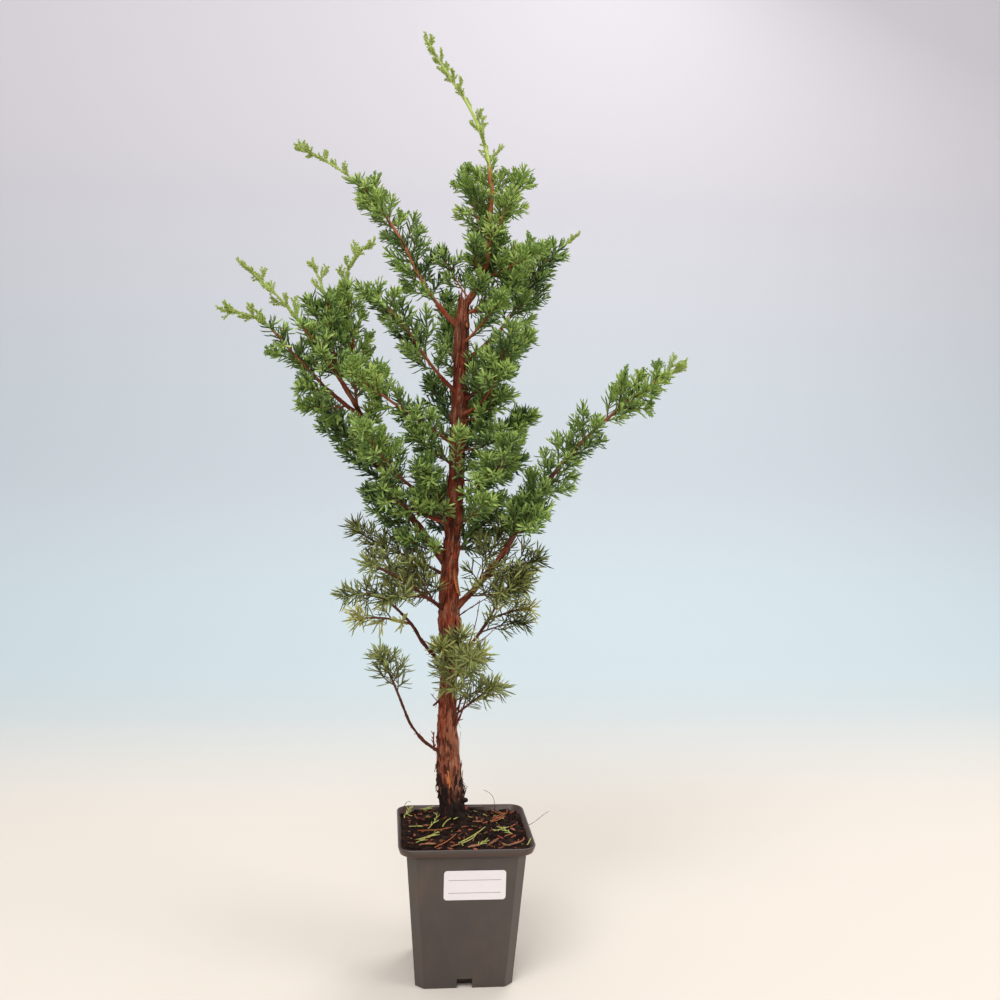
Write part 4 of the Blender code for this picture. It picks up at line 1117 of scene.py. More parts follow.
class Growth:
    """Twigs, twiglets and young cords as chains of points, gathered by kind."""

    def __init__(self):
        self.room = Room()
        self.leafy = defaultdict(list)
        self.wood = defaultdict(list)
        self.foliage = settings("foliage")

    def pick(self, look, rng, lift):
        """Deals a spray its kind: the better its place in the light, the fresher."""
        shares = SPRAYS[look]
        draw = min(0.999, max(0.0, rng.random() * 0.75 + lift * 0.25))
        for share in shares:
            if draw < share.part:
                return share
            draw -= share.part
        return shares[-1]

    def clothe(self, mass, points, share, thick, vigour=1.0, bare=0.2):
        """Adds one twig: its wood, its needles from the bare stretch on, and its closed tip."""
        count = len(points)
        radii = [thick * (1.0 - 0.55 * k / (count - 1)) for k in range(count)]
        wood = "straw" if share.kind == "straw" else "twig" if thick > 0.5 else "sprig"
        self.wood[wood].append(Chain(points, [], [], radii, mass.name))
        length = sum((b - a).length for a, b in zip(points, points[1:]))
        closed = min(4.2, length * 0.4)
        leafy = resampled(points, bare, 1.0 - closed / length, 5)
        if leafy:
            steps = [k / (len(leafy) - 1) for k in range(len(leafy))]
            self.leafy[share.kind].append(Chain(
                leafy, [vigour * (0.72 + 0.28 * math.sin(math.pi * (0.25 + 0.6 * s))) for s in steps],
                [1.12 - 0.2 * s for s in steps], [], mass.name))
        closing = 0.3 if share.tip in ("grey_tips", "straw_tips") else 0.55
        tip = resampled(points, 1.0 - closed / length, 1.0, 4)
        self.leafy[share.tip].append(Chain(
            tip, [vigour * (1.0 - 0.42 * k / 3) for k in range(4)], [1.0 - closing * k / 3 for k in range(4)],
            [], mass.name))

    def twig(self, mass, limb, distance, clothed, roll, rng, last):
        """One twig with its twiglets, shortened until it keeps to its mass's space."""
        share = mass.start + distance / limb.axis.length
        start, way = limb.point(share), limb.way(share)
        spread = math.radians(46.0) * rng.uniform(0.8, 1.2)
        reach = reach_at(mass, distance / clothed, last) - 3.0
        out = turned_out(way, roll, spread)
        if out.y < FACING and rng.random() < SHOWN.get(mass.name, LEFT_OUT):
            return
        for shrink in (1.0, 0.82, 0.66, 0.5, 0.36):
            run = max(6.0, reach * shrink * rng.uniform(0.78, 1.08) / math.sin(spread))
            points = self.bent_path(start, out, run, rng)
            if self.room.owns(mass.name, points[-1]) and all(self.room.clear(p, 1.2) for p in points[2:]):
                break
        else:
            return
        if mass.name not in IN_FRONT and hides_trunk(points[-1]) and rng.random() < 0.75:
            return
        lift = clamp(0.5 + 0.5 * out.z) * 0.6 + 0.4 * distance / clothed
        dealt = self.pick(mass.look, rng, lift)
        slim = 0.6 if mass.look in SPACED else 1.0
        self.clothe(mass, points, dealt, 0.55, 1.0, min(0.45, 3.2 / run))
        if SCALY.get(mass.look, 0.0) > rng.random():
            end = (points[-1] - points[-2]).normalized()
            for turn in (0.0, 0.6, -0.6):
                way = turned_out(end, roll + (math.pi if turn < 0.0 else 0.0), abs(turn))
                foot = points[-2] if turn else points[-1] - end * 2.0
                self.cord(mass, foot, way, rng.uniform(6.0, 9.0), rng, 4, "scales")
        every = in_mm(self.foliage.twiglet_every) / slim
        along = 0.2 * run + rng.uniform(0.0, every * 0.5)
        side = rng.choice((-1, 1))
        while along < run * 0.86:
            self.twiglet(mass, points, along / run, side, run, rng, dealt)
            along += every * rng.uniform(0.8, 1.25)
            side = -side

    def bent_path(self, start, out, run, rng):
        """A twig's path: it leaves in one direction and lifts a little."""
        points = [start.copy()]
        way = out.copy()
        drift = Vector((rng.uniform(-1, 1), rng.uniform(-1, 1), rng.uniform(-0.6, 1.0))) * 0.10
        steps = 6
        for k in range(steps):
            way = (way + Vector((0.0, 0.0, 0.075)) + drift).normalized()
            points.append(points[-1] + way * run / steps)
        return points

    def twiglet(self, mass, points, share, side, run, rng, dealt):
        """A short side spray, in the plane of its twig and the light above it."""
        place = share * (len(points) - 1)
        low = int(place)
        start = points[low].lerp(points[low + 1], place - low)
        way = (points[low + 1] - points[low]).normalized()
        roll = rng.uniform(-0.7, 0.7) + (0.0 if side > 0 else math.pi)
        out = turned_out(way, roll, math.radians(rng.uniform(34.0, 52.0)))
        length = min(13.0, max(5.0, run * (1.0 - share) * rng.uniform(0.55, 0.9)))
        path = self.bent_path(start, out, length, rng)
        if not self.room.clear(path[-1], 1.0) or not self.room.owns(mass.name, path[-1]):
            return
        own = dealt if rng.random() < 0.75 else self.pick(mass.look, rng, 0.5)
        self.clothe(mass, path, own, 0.36, 0.9, 0.12)

    def shoot(self, mass, limb, first, rng):
        """The bare young end of an axis: pressed scales, and short forked cords at steps."""
        length = (mass.end - first) * limb.axis.length
        count = max(4, round(length / 3.0))
        shares = [first + (mass.end - first) * k / count for k in range(count + 1)]
        points = [limb.point(share) for share in shares]
        self.leafy["cords"].append(Chain(
            points, [1.0] * len(points), [0.55] * len(points), [], mass.name))
        along = 3.0
        roll = rng.uniform(0.0, math.tau)
        while along < length - 2.0:
            share = first + along / limb.axis.length
            fade = 1.0 - 0.45 * along / length
            for _ in range(2 if rng.random() < 0.6 else 1):
                roll += GOLDEN
                out = turned_out(limb.way(share), roll, math.radians(rng.uniform(30.0, 46.0)))
                self.cord(mass, limb.point(share), out, rng.uniform(9.0, 14.5) * fade, rng, 5)
            along += rng.uniform(5.5, 10.5)
        end, way = limb.point(mass.end), limb.way(mass.end)
        for lean in (0.0, 30.0, -34.0):
            out = turned_out(way, roll + (math.pi if lean < 0 else 0.0), math.radians(abs(lean)))
            foot = end - way * (2.0 + abs(lean) * 0.1)
            self.cord(mass, foot, out, rng.uniform(5.5, 7.0), rng, 2)

    def cord(self, mass, start, out, length, rng, forks, kind="cords"):
        """A scaly cord with short fingers in turn on its two sides."""
        points = self.bent_path(start, out, length, rng)[::2]
        self.leafy[kind].append(Chain(points, [1.0, 1.0, 0.95, 0.8], [0.9, 0.8, 0.6, 0.4], [], mass.name))
        self.wood[kind].append(Chain(points, [], [], [0.34, 0.32, 0.28, 0.16], mass.name))
        roll = rng.uniform(0.0, math.tau)
        for fork in range(forks):
            share = 0.22 + 0.62 * fork / max(1, forks - 1)
            side = turned_out(out, roll + math.pi * (fork % 2), math.radians(rng.uniform(32.0, 46.0)))
            self.cord(mass, start.lerp(points[-1], share), side, length * (0.52 - 0.3 * share), rng, 0, kind)

    def mass(self, mass, limb):
        rng = random.Random(f"{SEED} {mass.name}")
        length = (mass.end - mass.start) * limb.axis.length
        clothed = length * mass.shoot
        last = mass.end == 1
        every = in_mm(self.foliage.twig_every) * SPACED.get(mass.look, 1.0)
        every *= THIN.get(mass.name, 1.0)
        count = max(3, round(clothed / every))
        roll = rng.uniform(0.0, math.tau)
        for number in range(count):
            roll += GOLDEN
            distance = clothed * (0.03 + 0.95 * (number + rng.uniform(0.2, 0.8)) / count)
            self.twig(mass, limb, distance, clothed, roll, rng, last)
        first = mass.start + (mass.end - mass.start) * mass.shoot
        if mass.shoot < 1:
            self.shoot(mass, limb, first, rng)
        elif last:
            self.end_tuft(mass, limb, rng)
        self.stem_needles(mass, limb, first, rng)

    def end_tuft(self, mass, limb, rng):
        """The axis ends in a tuft of short sprays."""
        end, way = limb.point(1.0), limb.way(1.0)
        dealt = self.pick(mass.look, rng, 1.0)
        for k in range(5):
            out = turned_out(way, k * GOLDEN, math.radians(0.0 if k == 0 else 36.0))
            path = self.bent_path(end - way * (4.0 + 1.5 * k), out, 8.5 - 0.8 * k, rng)
            self.clothe(mass, path, dealt, 0.4, 0.85, 0.1)

    def stem_needles(self, mass, limb, first, rng):
        """Needles on the younger half of the stem itself."""
        low = mass.start + (first - mass.start) * 0.45
        if (first - low) * limb.axis.length < 6.0:
            return
        points = [limb.point(low + (first - low) * k / 8) for k in range(9)]
        kind = self.pick(mass.look, rng, 0.4).kind
        self.leafy[kind].append(Chain(points, [0.95] * 9, [1.1] * 9, [], mass.name))


def resampled(points, start, end, count):
    """The stretch of a path from start to end, in fractions, as count points."""
    if end - start < 0.05:
        return []
    last = len(points) - 1
    made = []
    for k in range(count):
        place = min(0.9999, start + (end - start) * k / (count - 1)) * last
        low = int(place)
        made.append(points[low].lerp(points[low + 1], place - low))
    return made


@lru_cache(maxsize=None)
def grown():
    growth = Growth()
    for limb in limbs().values():
        for mass in limb.axis.masses:
            growth.mass(mass, limb)
    return growth


def chain_object(name, chains, values):
    """Chains as edges, with the named values of their points."""
    points, edges = [], []
    numbers = {value: [] for value in values}
    for chain in chains:
        first = len(points)
        points += [point * MM for point in chain.points]
        edges += [(first + k, first + k + 1) for k in range(len(chain.points) - 1)]
        for value in values:
            numbers[value] += getattr(chain, {"radius": "radii"}.get(value, value))
    mesh = bpy.data.meshes.new(name)
    mesh.from_pydata(points, edges, [])
    obj = link(bpy.data.objects.new(name, mesh))
    for value in values:
        scale = MM if value == "radius" else 1.0
        set_attribute(obj, value, np.array(numbers[value]) * scale)
    return obj


def needle_shape():
    """One needle a unit long and wide: three-sided, bowed, with a flat upper face and a sharp tip."""
    points, faces = [], []
    for height, wide, bow in ((0.02, 0.66, 0.0), (0.74, 1.0, -0.4)):
        points += [(0.5 * wide * math.cos(turn), 0.32 * wide * math.sin(turn) + bow, height)
                   for turn in (0.5, math.pi - 0.5, -math.pi / 2)]
    points.append((0.0, -0.1, 1.0))
    for k in range(3):
        after = (k + 1) % 3
        faces += [(k, after, after + 3, k + 3), (k + 3, after + 3, 6)]
    faces.append((2, 1, 0))
    mesh = bpy.data.meshes.new("needle_shape")
    mesh.from_pydata(points, [], faces)
    upper = mesh.attributes.new("upper", "BOOLEAN", "FACE")
    for face in range(2):
        upper.data[face].value = True
    return link(bpy.data.objects.new("needle_shape", mesh))


# Wood


def fibre(turn, along, radius, seed):
    """Relief of fibrous bark at a point of a limb, about -1 to 1: broad strands between narrow fissures."""
    around = Vector((math.cos(turn), math.sin(turn), 0.0)) * radius
    around.rotate(Euler((0.0, 0.0, noise.noise(Vector((seed, along / 26.0, 0.3))) * 0.8)))
    strand = noise.noise(Vector((around.x * 0.42, around.y * 0.42, along / 19.0 + seed)))
    cord = noise.noise(Vector((around.x * 1.1, around.y * 1.1, along / 8.0 + 2 * seed)))
    plate = noise.noise(Vector((around.x * 0.25, around.y * 0.25, along / 6.0 - seed)))
    return min(1.0, 4.0 * abs(strand)) * 0.8 + min(1.0, 3.0 * abs(cord)) * 0.5 + plate * 0.9 - 0.75


def bark_tube(shape, centres, radii, sides, relief, seed, tangents=None, lobes=None, tint=None):
    """Adds a limb with bark relief, and the values that its material reads."""
    along = [0.0]
    for a, b in zip(centres, centres[1:]):
        along.append(along[-1] + (b - a).length)

    def surface(i, turn):
        high = fibre(turn, along[i], max(radii[i], 1.2), seed)
        factor = (lobes(i, turn) if lobes else 1.0) + relief * high / radii[i]
        grain = Vector((math.cos(turn) * radii[i], math.sin(turn) * radii[i], along[i])) * MM
        # depth: how far down in a fissure the point lies, for painted shade there
        named = {"grain": grain, "depth": clamp(0.1 - high * 1.1)}
        named["stain"], named["pale"] = tint(i, turn, high) if tint else (0.0, 0.0)
        return max(0.4, factor), named

    shape.tube(centres, radii, sides, tangents, surface)


def peeling_strip(shape, z, turn, length, width, curl, rng, down=0):
    """A thin strip of bark that follows the trunk and lifts away at its end."""
    steps = 6
    down = down or rng.choice((-1, 1))
    tilt = rng.uniform(-0.12, 0.12)
    middle, across = [], []
    for k in range(steps + 1):
        share = k / steps
        height = z + down * length * share
        angle = turn + tilt * share
        out = Vector((math.cos(angle), math.sin(angle), 0.0))
        lift = -0.3 + 0.8 * share + curl * share ** 2.5
        middle.append(trunk_point(height) + out * (trunk_radius(height) + lift))
        half = width * 0.5 * (1.0 - 0.55 * share ** 2) * rng.uniform(0.8, 1.1)
        across.append(Vector((-out.y, out.x, 0.0)) * half)
    points = []
    for centre, wide in zip(middle, across):
        thick = wide.cross(Vector((0.0, 0.0, 1.0))).normalized() * 0.12
        points += [centre - wide - thick, centre + wide - thick,
                   centre + wide * 0.9 + thick, centre - wide * 0.9 + thick]
    shape.add(points, ring_faces(steps + 1, 4), grain=[point * MM for point in points],
              depth=[rng.choice((0.0, 0.1, 0.3, 0.6, 0.85))] * len(points),
              stain=[clamp((129.0 - z) / 12.0)] * len(points),
              pale=[rng.choice((0.0, 0.0, 0.25, 0.5, 0.85))] * len(points))


# Pot, soil and label


def square_ring(half, corner, roundness, z):
    """A square outline whose corners run from a flat chamfer (0) to a quarter circle (1)."""
    points = []
    for quarter in range(4):
        turn = Matrix.Rotation(quarter * math.pi / 2, 2)
        for k in range(CORNER_STEPS + 1):
            angle = math.pi / 2 * k / CORNER_STEPS
            arc = Vector((math.cos(angle), math.sin(angle)))
            chord = Vector((1, 0)).lerp(Vector((0, 1)), k / CORNER_STEPS)
            flat = Vector((half - corner, half - corner)) + corner * chord.lerp(arc, roundness)
            flat.rotate(turn)
            points.append(Vector((flat.x, flat.y, z)))
    return points


def loft(rings):
    """Points and faces through rings of equal count, closed at both ends."""
    return [point for ring in rings for point in ring], ring_faces(len(rings), len(rings[0]))


def wall_half(z):
    """Half-width of the pot's outside at a height below the shoulder."""
    return FOOT_HALF + (BODY_TOP_HALF - FOOT_HALF) * z / SHOULDER_HEIGHT


def box(low, high):
    points = [Vector((x, y, z)) for z in (low[2], high[2]) for x, y in (
        (low[0], low[1]), (high[0], low[1]), (high[0], high[1]), (low[0], high[1]))]
    return points, [(3, 2, 1, 0), (4, 5, 6, 7), (0, 1, 5, 4), (1, 2, 6, 5), (2, 3, 7, 6), (3, 0, 4, 7)]


def notch_boxes(wall):
    """The recess at the foot of each side, grown by a wall's thickness."""
    low = -1.0 if wall == 0.0 else FLOOR / 2
    shape = Shape()
    for quarter in range(4):
        points, faces = box(
            (-NOTCH_WIDTH / 2 - wall, FOOT_HALF - NOTCH_DEPTH - wall, low),
            (NOTCH_WIDTH / 2 + wall, FOOT_HALF + (3.0 if wall == 0.0 else -0.4), NOTCH_HEIGHT + wall),
        )
        turn = Matrix.Rotation(quarter * math.pi / 2, 3, "Z")
        shape.add([turn @ point for point in points], faces)
    return shape.build("notch_boxes", smooth=False)


def cut(obj, cutter, operation):
    modifier = obj.modifiers.new("cut", "BOOLEAN")
    modifier.operation = operation
    modifier.object = cutter
    modifier.solver = "EXACT"
    apply_modifiers(obj)
    remove(cutter)


def pot_rings(wall):
    """The pot's outline from its foot up the outside, over the lip and down the inside."""
    lip = 0.35
    return [
        square_ring(FOOT_HALF - 0.3, FOOT_CORNER, 0.0, 0.0),
        square_ring(FOOT_HALF, FOOT_CORNER, 0.0, 0.5),
        square_ring(BODY_TOP_HALF - 0.15, BODY_CORNER, 0.0, SHOULDER_HEIGHT - 0.8),
        square_ring(BODY_TOP_HALF + 0.5, BODY_CORNER + 0.4, 0.2, SHOULDER_HEIGHT),
        square_ring(RIM_BOTTOM_HALF + 0.1, RIM_CORNER - 0.9, 0.95, RIM_BOTTOM - 0.4),
        square_ring(RIM_BOTTOM_HALF + 0.9, RIM_CORNER - 0.4, 1.0, RIM_BOTTOM + 0.2),
        square_ring(RIM_HALF - 0.25, RIM_CORNER, 1.0, POT_HEIGHT - 1.6),
        square_ring(RIM_HALF, RIM_CORNER, 1.0, POT_HEIGHT - lip),
        square_ring(RIM_HALF - lip, RIM_CORNER - lip, 1.0, POT_HEIGHT),
        square_ring(RIM_HALF - wall + lip, RIM_CORNER - wall + lip, 1.0, POT_HEIGHT),
        square_ring(RIM_HALF - wall, RIM_CORNER - wall, 1.0, POT_HEIGHT - lip),
        square_ring(RIM_BOTTOM_HALF - wall, RIM_CORNER - 2.0, 0.8, RIM_BOTTOM),
        square_ring(BODY_TOP_HALF - wall, BODY_CORNER - 0.5, 0.0, SHOULDER_HEIGHT - 0.8),
        square_ring(wall_half(FLOOR) - wall, FOOT_CORNER - 0.5, 0.0, FLOOR),
    ]


def pot_finish(name, colour, dusty):
    """Dark satin plastic: faint flow lines, dried peat smeared over it, and darker inside the rim."""
    finish = Finish(name, colour, 0.42, Specular_IOR_Level=0.5)
    place = finish.object_place()
    smears = finish.group(blotch_group(), Vector=place, Scale=26.0, Low=0.44, High=0.72)
    streaks = finish.group(grain_group(), Vector=place, Scale=150.0, Stretch=0.12, Low=0.4, High=0.75)
    specks = finish.group(blotch_group(), Vector=place, Scale=900.0, Low=0.66, High=0.74)
    dust = finish.math("MULTIPLY", smears, finish.math("ADD", streaks, 0.35))
    dust = finish.math("ADD", finish.math("MULTIPLY", dust, 0.7), finish.math("MULTIPLY", specks, 0.4))
    dust = finish.math("MINIMUM", dust, 1.0)
    split = finish.split(place)
    across = finish.math("MAXIMUM", finish.math("ABSOLUTE", split["X"]), finish.math("ABSOLUTE", split["Y"]))
    inside = finish.math("LESS_THAN", across, (RIM_HALF - 0.5) * MM)
    above = finish.math("GREATER_THAN", split["Z"], RIM_BOTTOM * MM)
    # Inside the rim, above its foot, the plastic is darkened toward the dry peat colour.
    rim_inside_darker = finish.math("MULTIPLY", finish.math("MULTIPLY", inside, above), 0.75)
    finish.paint(finish.mix(rim_inside_darker, finish.mix(dust, colour, dusty), settings("soil").dry))
    finish.rough(dust, 0.38, 0.7)
    finish.bump(streaks, 0.00005)
    return finish.material


@lru_cache(maxsize=None)
def soil_finish():
    """Dark damp peat, browner where it has dried."""
    colour = settings("soil").colour
    finish = Finish("peat", colour, 0.9, Specular_IOR_Level=0.1)
    place = finish.object_place()
    dry = finish.group(blotch_group(), Vector=place, Scale=180.0, Low=0.5, High=0.75)
    finish.paint(finish.mix(dry, colour, settings("soil").dry))
    grit = finish.group(blotch_group(), Vector=place, Scale=1400.0, Low=0.3, High=0.7)
    finish.rough(grit, 0.6, 0.95)
    finish.bump(grit, 0.0004)
    return finish.material


@lru_cache(maxsize=None)
def label_finish():
    """White paper with two thin ruled lines and faint worn patches."""
    label = settings("label")
    finish = Finish("label_paper", label.paper, 0.45)
    place = finish.object_place()
    split = finish.split(place)
    mask = None
    for height in RULES:
        near = finish.math("ABSOLUTE", finish.math("SUBTRACT", split["Z"], height * MM))
        line = finish.math("LESS_THAN", near, RULE_THIN * MM)
        aside = finish.math("ABSOLUTE", finish.math("SUBTRACT", split["X"], LABEL_ACROSS * MM))
        line = finish.math("MULTIPLY", line, finish.math("LESS_THAN", aside, RULE_HALF * MM))
        mask = line if mask is None else finish.math("MAXIMUM", mask, line)
    worn = finish.group(blotch_group(), Vector=place, Scale=160.0, Low=0.35, High=0.8)
    paper = finish.mix(finish.math("MULTIPLY", worn, 0.25), label.paper, (0.70, 0.64, 0.63))
    finish.paint(finish.mix(mask, paper, label.ink))
    finish.rough(worn, 0.38, 0.55)
    return finish.material


# Operators


class JUNIPER_OT_stage(bpy.types.Operator):
    """Sets up the camera, the floor and the soft light"""
    bl_idname = "juniper.stage"
    bl_label = "Stage"

    EYE = Vector((-57.63, -785.29, 377.13))
    YAW, PITCH, ROLL = 5.6887, 4.0490, 1.1212

    def execute(self, context):
        stage = settings("stage")
        self.camera(stage.focal)
        self.floor(stage)
        self.lights(stage)
        context.scene.view_settings.view_transform = "Standard"
        return {"FINISHED"}

    def camera(self, focal):
        yaw, pitch, roll = (math.radians(angle) for angle in (self.YAW, self.PITCH, self.ROLL))
        ahead = Vector((math.sin(yaw) * math.cos(pitch), math.cos(yaw) * math.cos(pitch), -math.sin(pitch)))
        level = Vector((math.cos(yaw), -math.sin(yaw), 0.0))
        up = level.cross(ahead)
        right = level * math.cos(roll) + up * math.sin(roll)
        above = up * math.cos(roll) - level * math.sin(roll)
        data = bpy.data.cameras.new("view")
        data.lens = focal
        data.sensor_width = 36.0
        camera = bpy.data.objects.new("view", data)
        turned = Matrix((right, above, -ahead)).transposed().to_4x4()
        camera.matrix_world = Matrix.Translation(self.EYE * MM) @ turned
        bpy.context.scene.camera = link(camera)

    def floor(self, stage):
        """A pale floor that sweeps up behind the tree into a pale backdrop."""
        bend, back, wide, high = 0.8, 1.5, 9.0, 5.0
        path = [(-6.0, 0.0), (-1.0, 0.0), (back - bend, 0.0)]
        for step in range(1, 33):
            angle = math.pi / 2 * step / 32
            path.append((back - bend + bend * math.sin(angle), bend - bend * math.cos(angle)))
        path.append((back, high))
        points = [Vector((side * wide, y, z)) / MM for y, z in path for side in (-1, 1)]
        faces = [(2 * k, 2 * k + 1, 2 * k + 3, 2 * k + 2) for k in range(len(path) - 1)]
        finish = Finish("sweep_paper", stage.floor, 0.9, Specular_IOR_Level=0.1)
        split = finish.split(finish.object_place())
        drop = finish.mix(finish.ramp(split["Z"], 0.02, 0.3), stage.haze, stage.mist)
        drop = finish.mix(finish.ramp(split["Z"], 0.3, 1.0), drop, stage.backdrop)
        finish.paint(finish.mix(finish.ramp(split["Y"], 0.2, 0.95), stage.floor, drop))
        add_mesh("floor_sweep", points, faces, finish.material, smooth=True)

    def lights(self, stage):
        world = bpy.data.worlds.new("soft_room")
        world.use_nodes = True
        background = world.node_tree.nodes["Background"]
        background.inputs["Color"].default_value = (0.93, 0.95, 1.0, 1.0)
        background.inputs["Strength"].default_value = 0.5
        bpy.context.scene.world = world
        tree, drop = Vector((0.0, 0.0, 0.3)), Vector((0.0, 1.5, 0.7))
        for name, place, aim, size, power in (
            ("key", (-0.7, -1.3, 1.9), tree, 1.2, stage.key),
            ("fill", (1.5, -0.8, 0.8), tree, 1.0, stage.fill),
            ("back", (0.6, 0.9, 1.7), tree, 0.8, stage.fill),
            ("drop", (0.0, 0.3, 2.6), drop, 2.6, stage.drop),
        ):
            data = bpy.data.lights.new(name, "AREA")
            data.size = size
            data.energy = power
            lamp = bpy.data.objects.new(name, data)
            lamp.location = place
            lamp.rotation_mode = "QUATERNION"
            lamp.rotation_quaternion = (aim - Vector(place)).to_track_quat("-Z", "Y")
            link(lamp)


class JUNIPER_OT_pot(bpy.types.Operator):
    """Makes the moulded pot with its shoulder, rim and recesses"""
    bl_idname = "juniper.pot"
    bl_label = "Pot"

    def execute(self, context):
        pot = settings("pot")
        wall = in_mm(pot.wall)
        obj = add_mesh("pot_shell", *loft(pot_rings(wall)), pot_finish("pot_plastic", pot.colour, pot.dust))
        obj.data.materials.append(pot_finish("pot_worn_edge", pot.worn, pot.worn))
        tab = Shape()
        tab.add(*box((-17.6, RIM_BOTTOM_HALF - 0.6, RIM_BOTTOM), (17.0, RIM_HALF - 0.6, POT_HEIGHT - 0.7)))
        cut(obj, tab.build("rim_tab", smooth=False), "UNION")
        cut(obj, notch_boxes(wall), "UNION")
        cut(obj, notch_boxes(0.0), "DIFFERENCE")
        bevel = obj.modifiers.new("edge", "BEVEL")
        bevel.width = pot.edge
        bevel.segments = 3
        bevel.limit_method = "ANGLE"
        bevel.angle_limit = math.radians(28.0)
        # The bevels take the second material, a painted highlight along every moulded edge.
        bevel.material = 1
        apply_modifiers(obj)
        obj.data.shade_smooth()
        obj.data.set_sharp_from_angle(angle=math.radians(30.0))
        finish_piece(obj, "pot", "pot")
        return {"FINISHED"}


class JUNIPER_OT_label(bpy.types.Operator):
    """Makes the blank sticker with thin ruled lines"""
    bl_idname = "juniper.label"
    bl_label = "Label"

    def execute(self, context):
        label = settings("label")
        half_width, half_height = in_mm(label.width) / 2, in_mm(label.height) / 2
        outline = []
        for sx, sz, start in ((1, 1, 0), (-1, 1, 90), (-1, -1, 180), (1, -1, 270)):
            for step in range(CORNER_STEPS + 1):
                angle = math.radians(start + 90 * step / CORNER_STEPS)
                outline.append((
                    sx * (half_width - LABEL_CORNER) + LABEL_CORNER * math.cos(angle),
                    sz * (half_height - LABEL_CORNER) + LABEL_CORNER * math.sin(angle),
                ))
        depths = (0.05, in_mm(label.thick), in_mm(label.thick) + 0.08)
        rings = [[Vector((x * shrink, -depth, z * shrink)) for x, z in outline]
                 for depth, shrink in zip(depths, (1.0, 1.0, 0.992))]
        points, faces = loft(rings)
        tilt = Matrix.Rotation(math.atan2(BODY_TOP_HALF - FOOT_HALF, SHOULDER_HEIGHT), 3, "X")
        middle = Vector((LABEL_ACROSS, -wall_half(LABEL_UP), LABEL_UP))
        obj = add_mesh("label_sticker", [middle + tilt @ point for point in points], faces, label_finish())
        finish_piece(obj, "label", "label")
        return {"FINISHED"}


def soil_height(x, y):
    """The peat's surface: a mound round the trunk, clods and dips."""
    away = math.hypot(x - TRUNK[0].across, y - TRUNK_DEPTH)
    rise = SOIL_MOUND - SOIL_FILL
    height = SOIL_LEVEL + SOIL_FILL + rise * clamp(1.0 - (away - FOOTPRINT) / MOUND_SLOPE)
    lumps = noise.noise(Vector((x / 8.0, y / 8.0, 1.0))) * 1.3
    lumps += noise.noise(Vector((x / 3.2, y / 3.2, 5.0))) * 1.3
    brim = clamp((max(abs(x), abs(y)) - 34.0) / 6.0)
    return height + brim + lumps * (0.9 if away > FOOTPRINT else 0.5)


class JUNIPER_OT_soil(bpy.types.Operator):
    """Makes the peat and the crumbs that lie on it"""
    bl_idname = "juniper.soil"
    bl_label = "Soil"

    def execute(self, context):
        soil = settings("soil")
        surface = self.surface()
        body = self.body(surface)
        crumbs = bpy.data.collections.new("crumb_shapes")
        for number in range(5):
            crumbs.objects.link(self.crumb(number))
        strewn = link(bpy.data.objects.new("soil_crumbs", surface.data.copy()))
        run_tree(strewn, crumb_tree(), crumbs=crumbs, density=float(soil.clods), smallest=soil.clod * 0.3,
                 largest=soil.clod * 2.2, seed=SEED, material=soil_finish())
        for shape in list(crumbs.objects):
            remove(shape)
        bpy.data.collections.remove(crumbs)
        remove(surface)
        finish_piece(body, "soil", "soil")
        finish_piece(strewn, "soil")
        return {"FINISHED"}

    def surface(self):
        """The peat's top as an open sheet inside the rim."""
        half, steps = RIM_BOTTOM_HALF - 1.0, 100
        corner = RIM_CORNER - 2.0
        points, faces = [], []
        for j in range(steps + 1):
            for i in range(steps + 1):
                x, y = (-half + 2 * half * k / steps for k in (i, j))
                over = abs(x) + abs(y) - (2 * half - corner)
                if over > 0:
                    x -= math.copysign(over / 2, x)
                    y -= math.copysign(over / 2, y)
                points.append(Vector((x, y, soil_height(x, y))))
        for j in range(steps):
            for i in range(steps):
                a = j * (steps + 1) + i
                faces.append((a, a + 1, a + steps + 2, a + steps + 1))
        return add_mesh("soil_surface", points, faces, smooth=True)

    def body(self, surface):
        """The peat itself: its surface, carried down inside the pot."""
        work = bmesh.new()
        work.from_mesh(surface.data)
        bmesh.ops.remove_doubles(work, verts=work.verts, dist=1e-6)
        for height, shrink in ((SHOULDER_HEIGHT - 0.4, 0.89), (70.0, 0.9)):
            rim = [edge for edge in work.edges if edge.is_boundary]
            grown_down = bmesh.ops.extrude_edge_only(work, edges=rim)["geom"]
            for vert in (item for item in grown_down if isinstance(item, bmesh.types.BMVert)):
                vert.co.z = height * MM
                vert.co.xy *= shrink
        bmesh.ops.holes_fill(work, edges=[edge for edge in work.edges if edge.is_boundary])
        bmesh.ops.recalc_face_normals(work, faces=work.faces)
        mesh = bpy.data.meshes.new("soil_body")
        work.to_mesh(mesh)
        work.free()
        mesh.shade_smooth()
        mesh.materials.append(soil_finish())
        return link(bpy.data.objects.new("soil_body", mesh))

    def crumb(self, number):
        """One crumb a unit across: a lumpy ball of a few dozen faces."""
        work = bmesh.new()
        bmesh.ops.create_icosphere(work, subdivisions=1, radius=0.5)
        for vert in work.verts:
            vert.co *= 0.75 + 0.6 * noise.noise(vert.co * 2.3 + Vector((number * 7.0, 0.0, 0.0)))
            vert.co.z *= 0.7
        mesh = bpy.data.meshes.new(f"crumb_{number}")
        work.to_mesh(mesh)
        work.free()
        return bpy.data.objects.new(f"crumb_{number}", mesh)


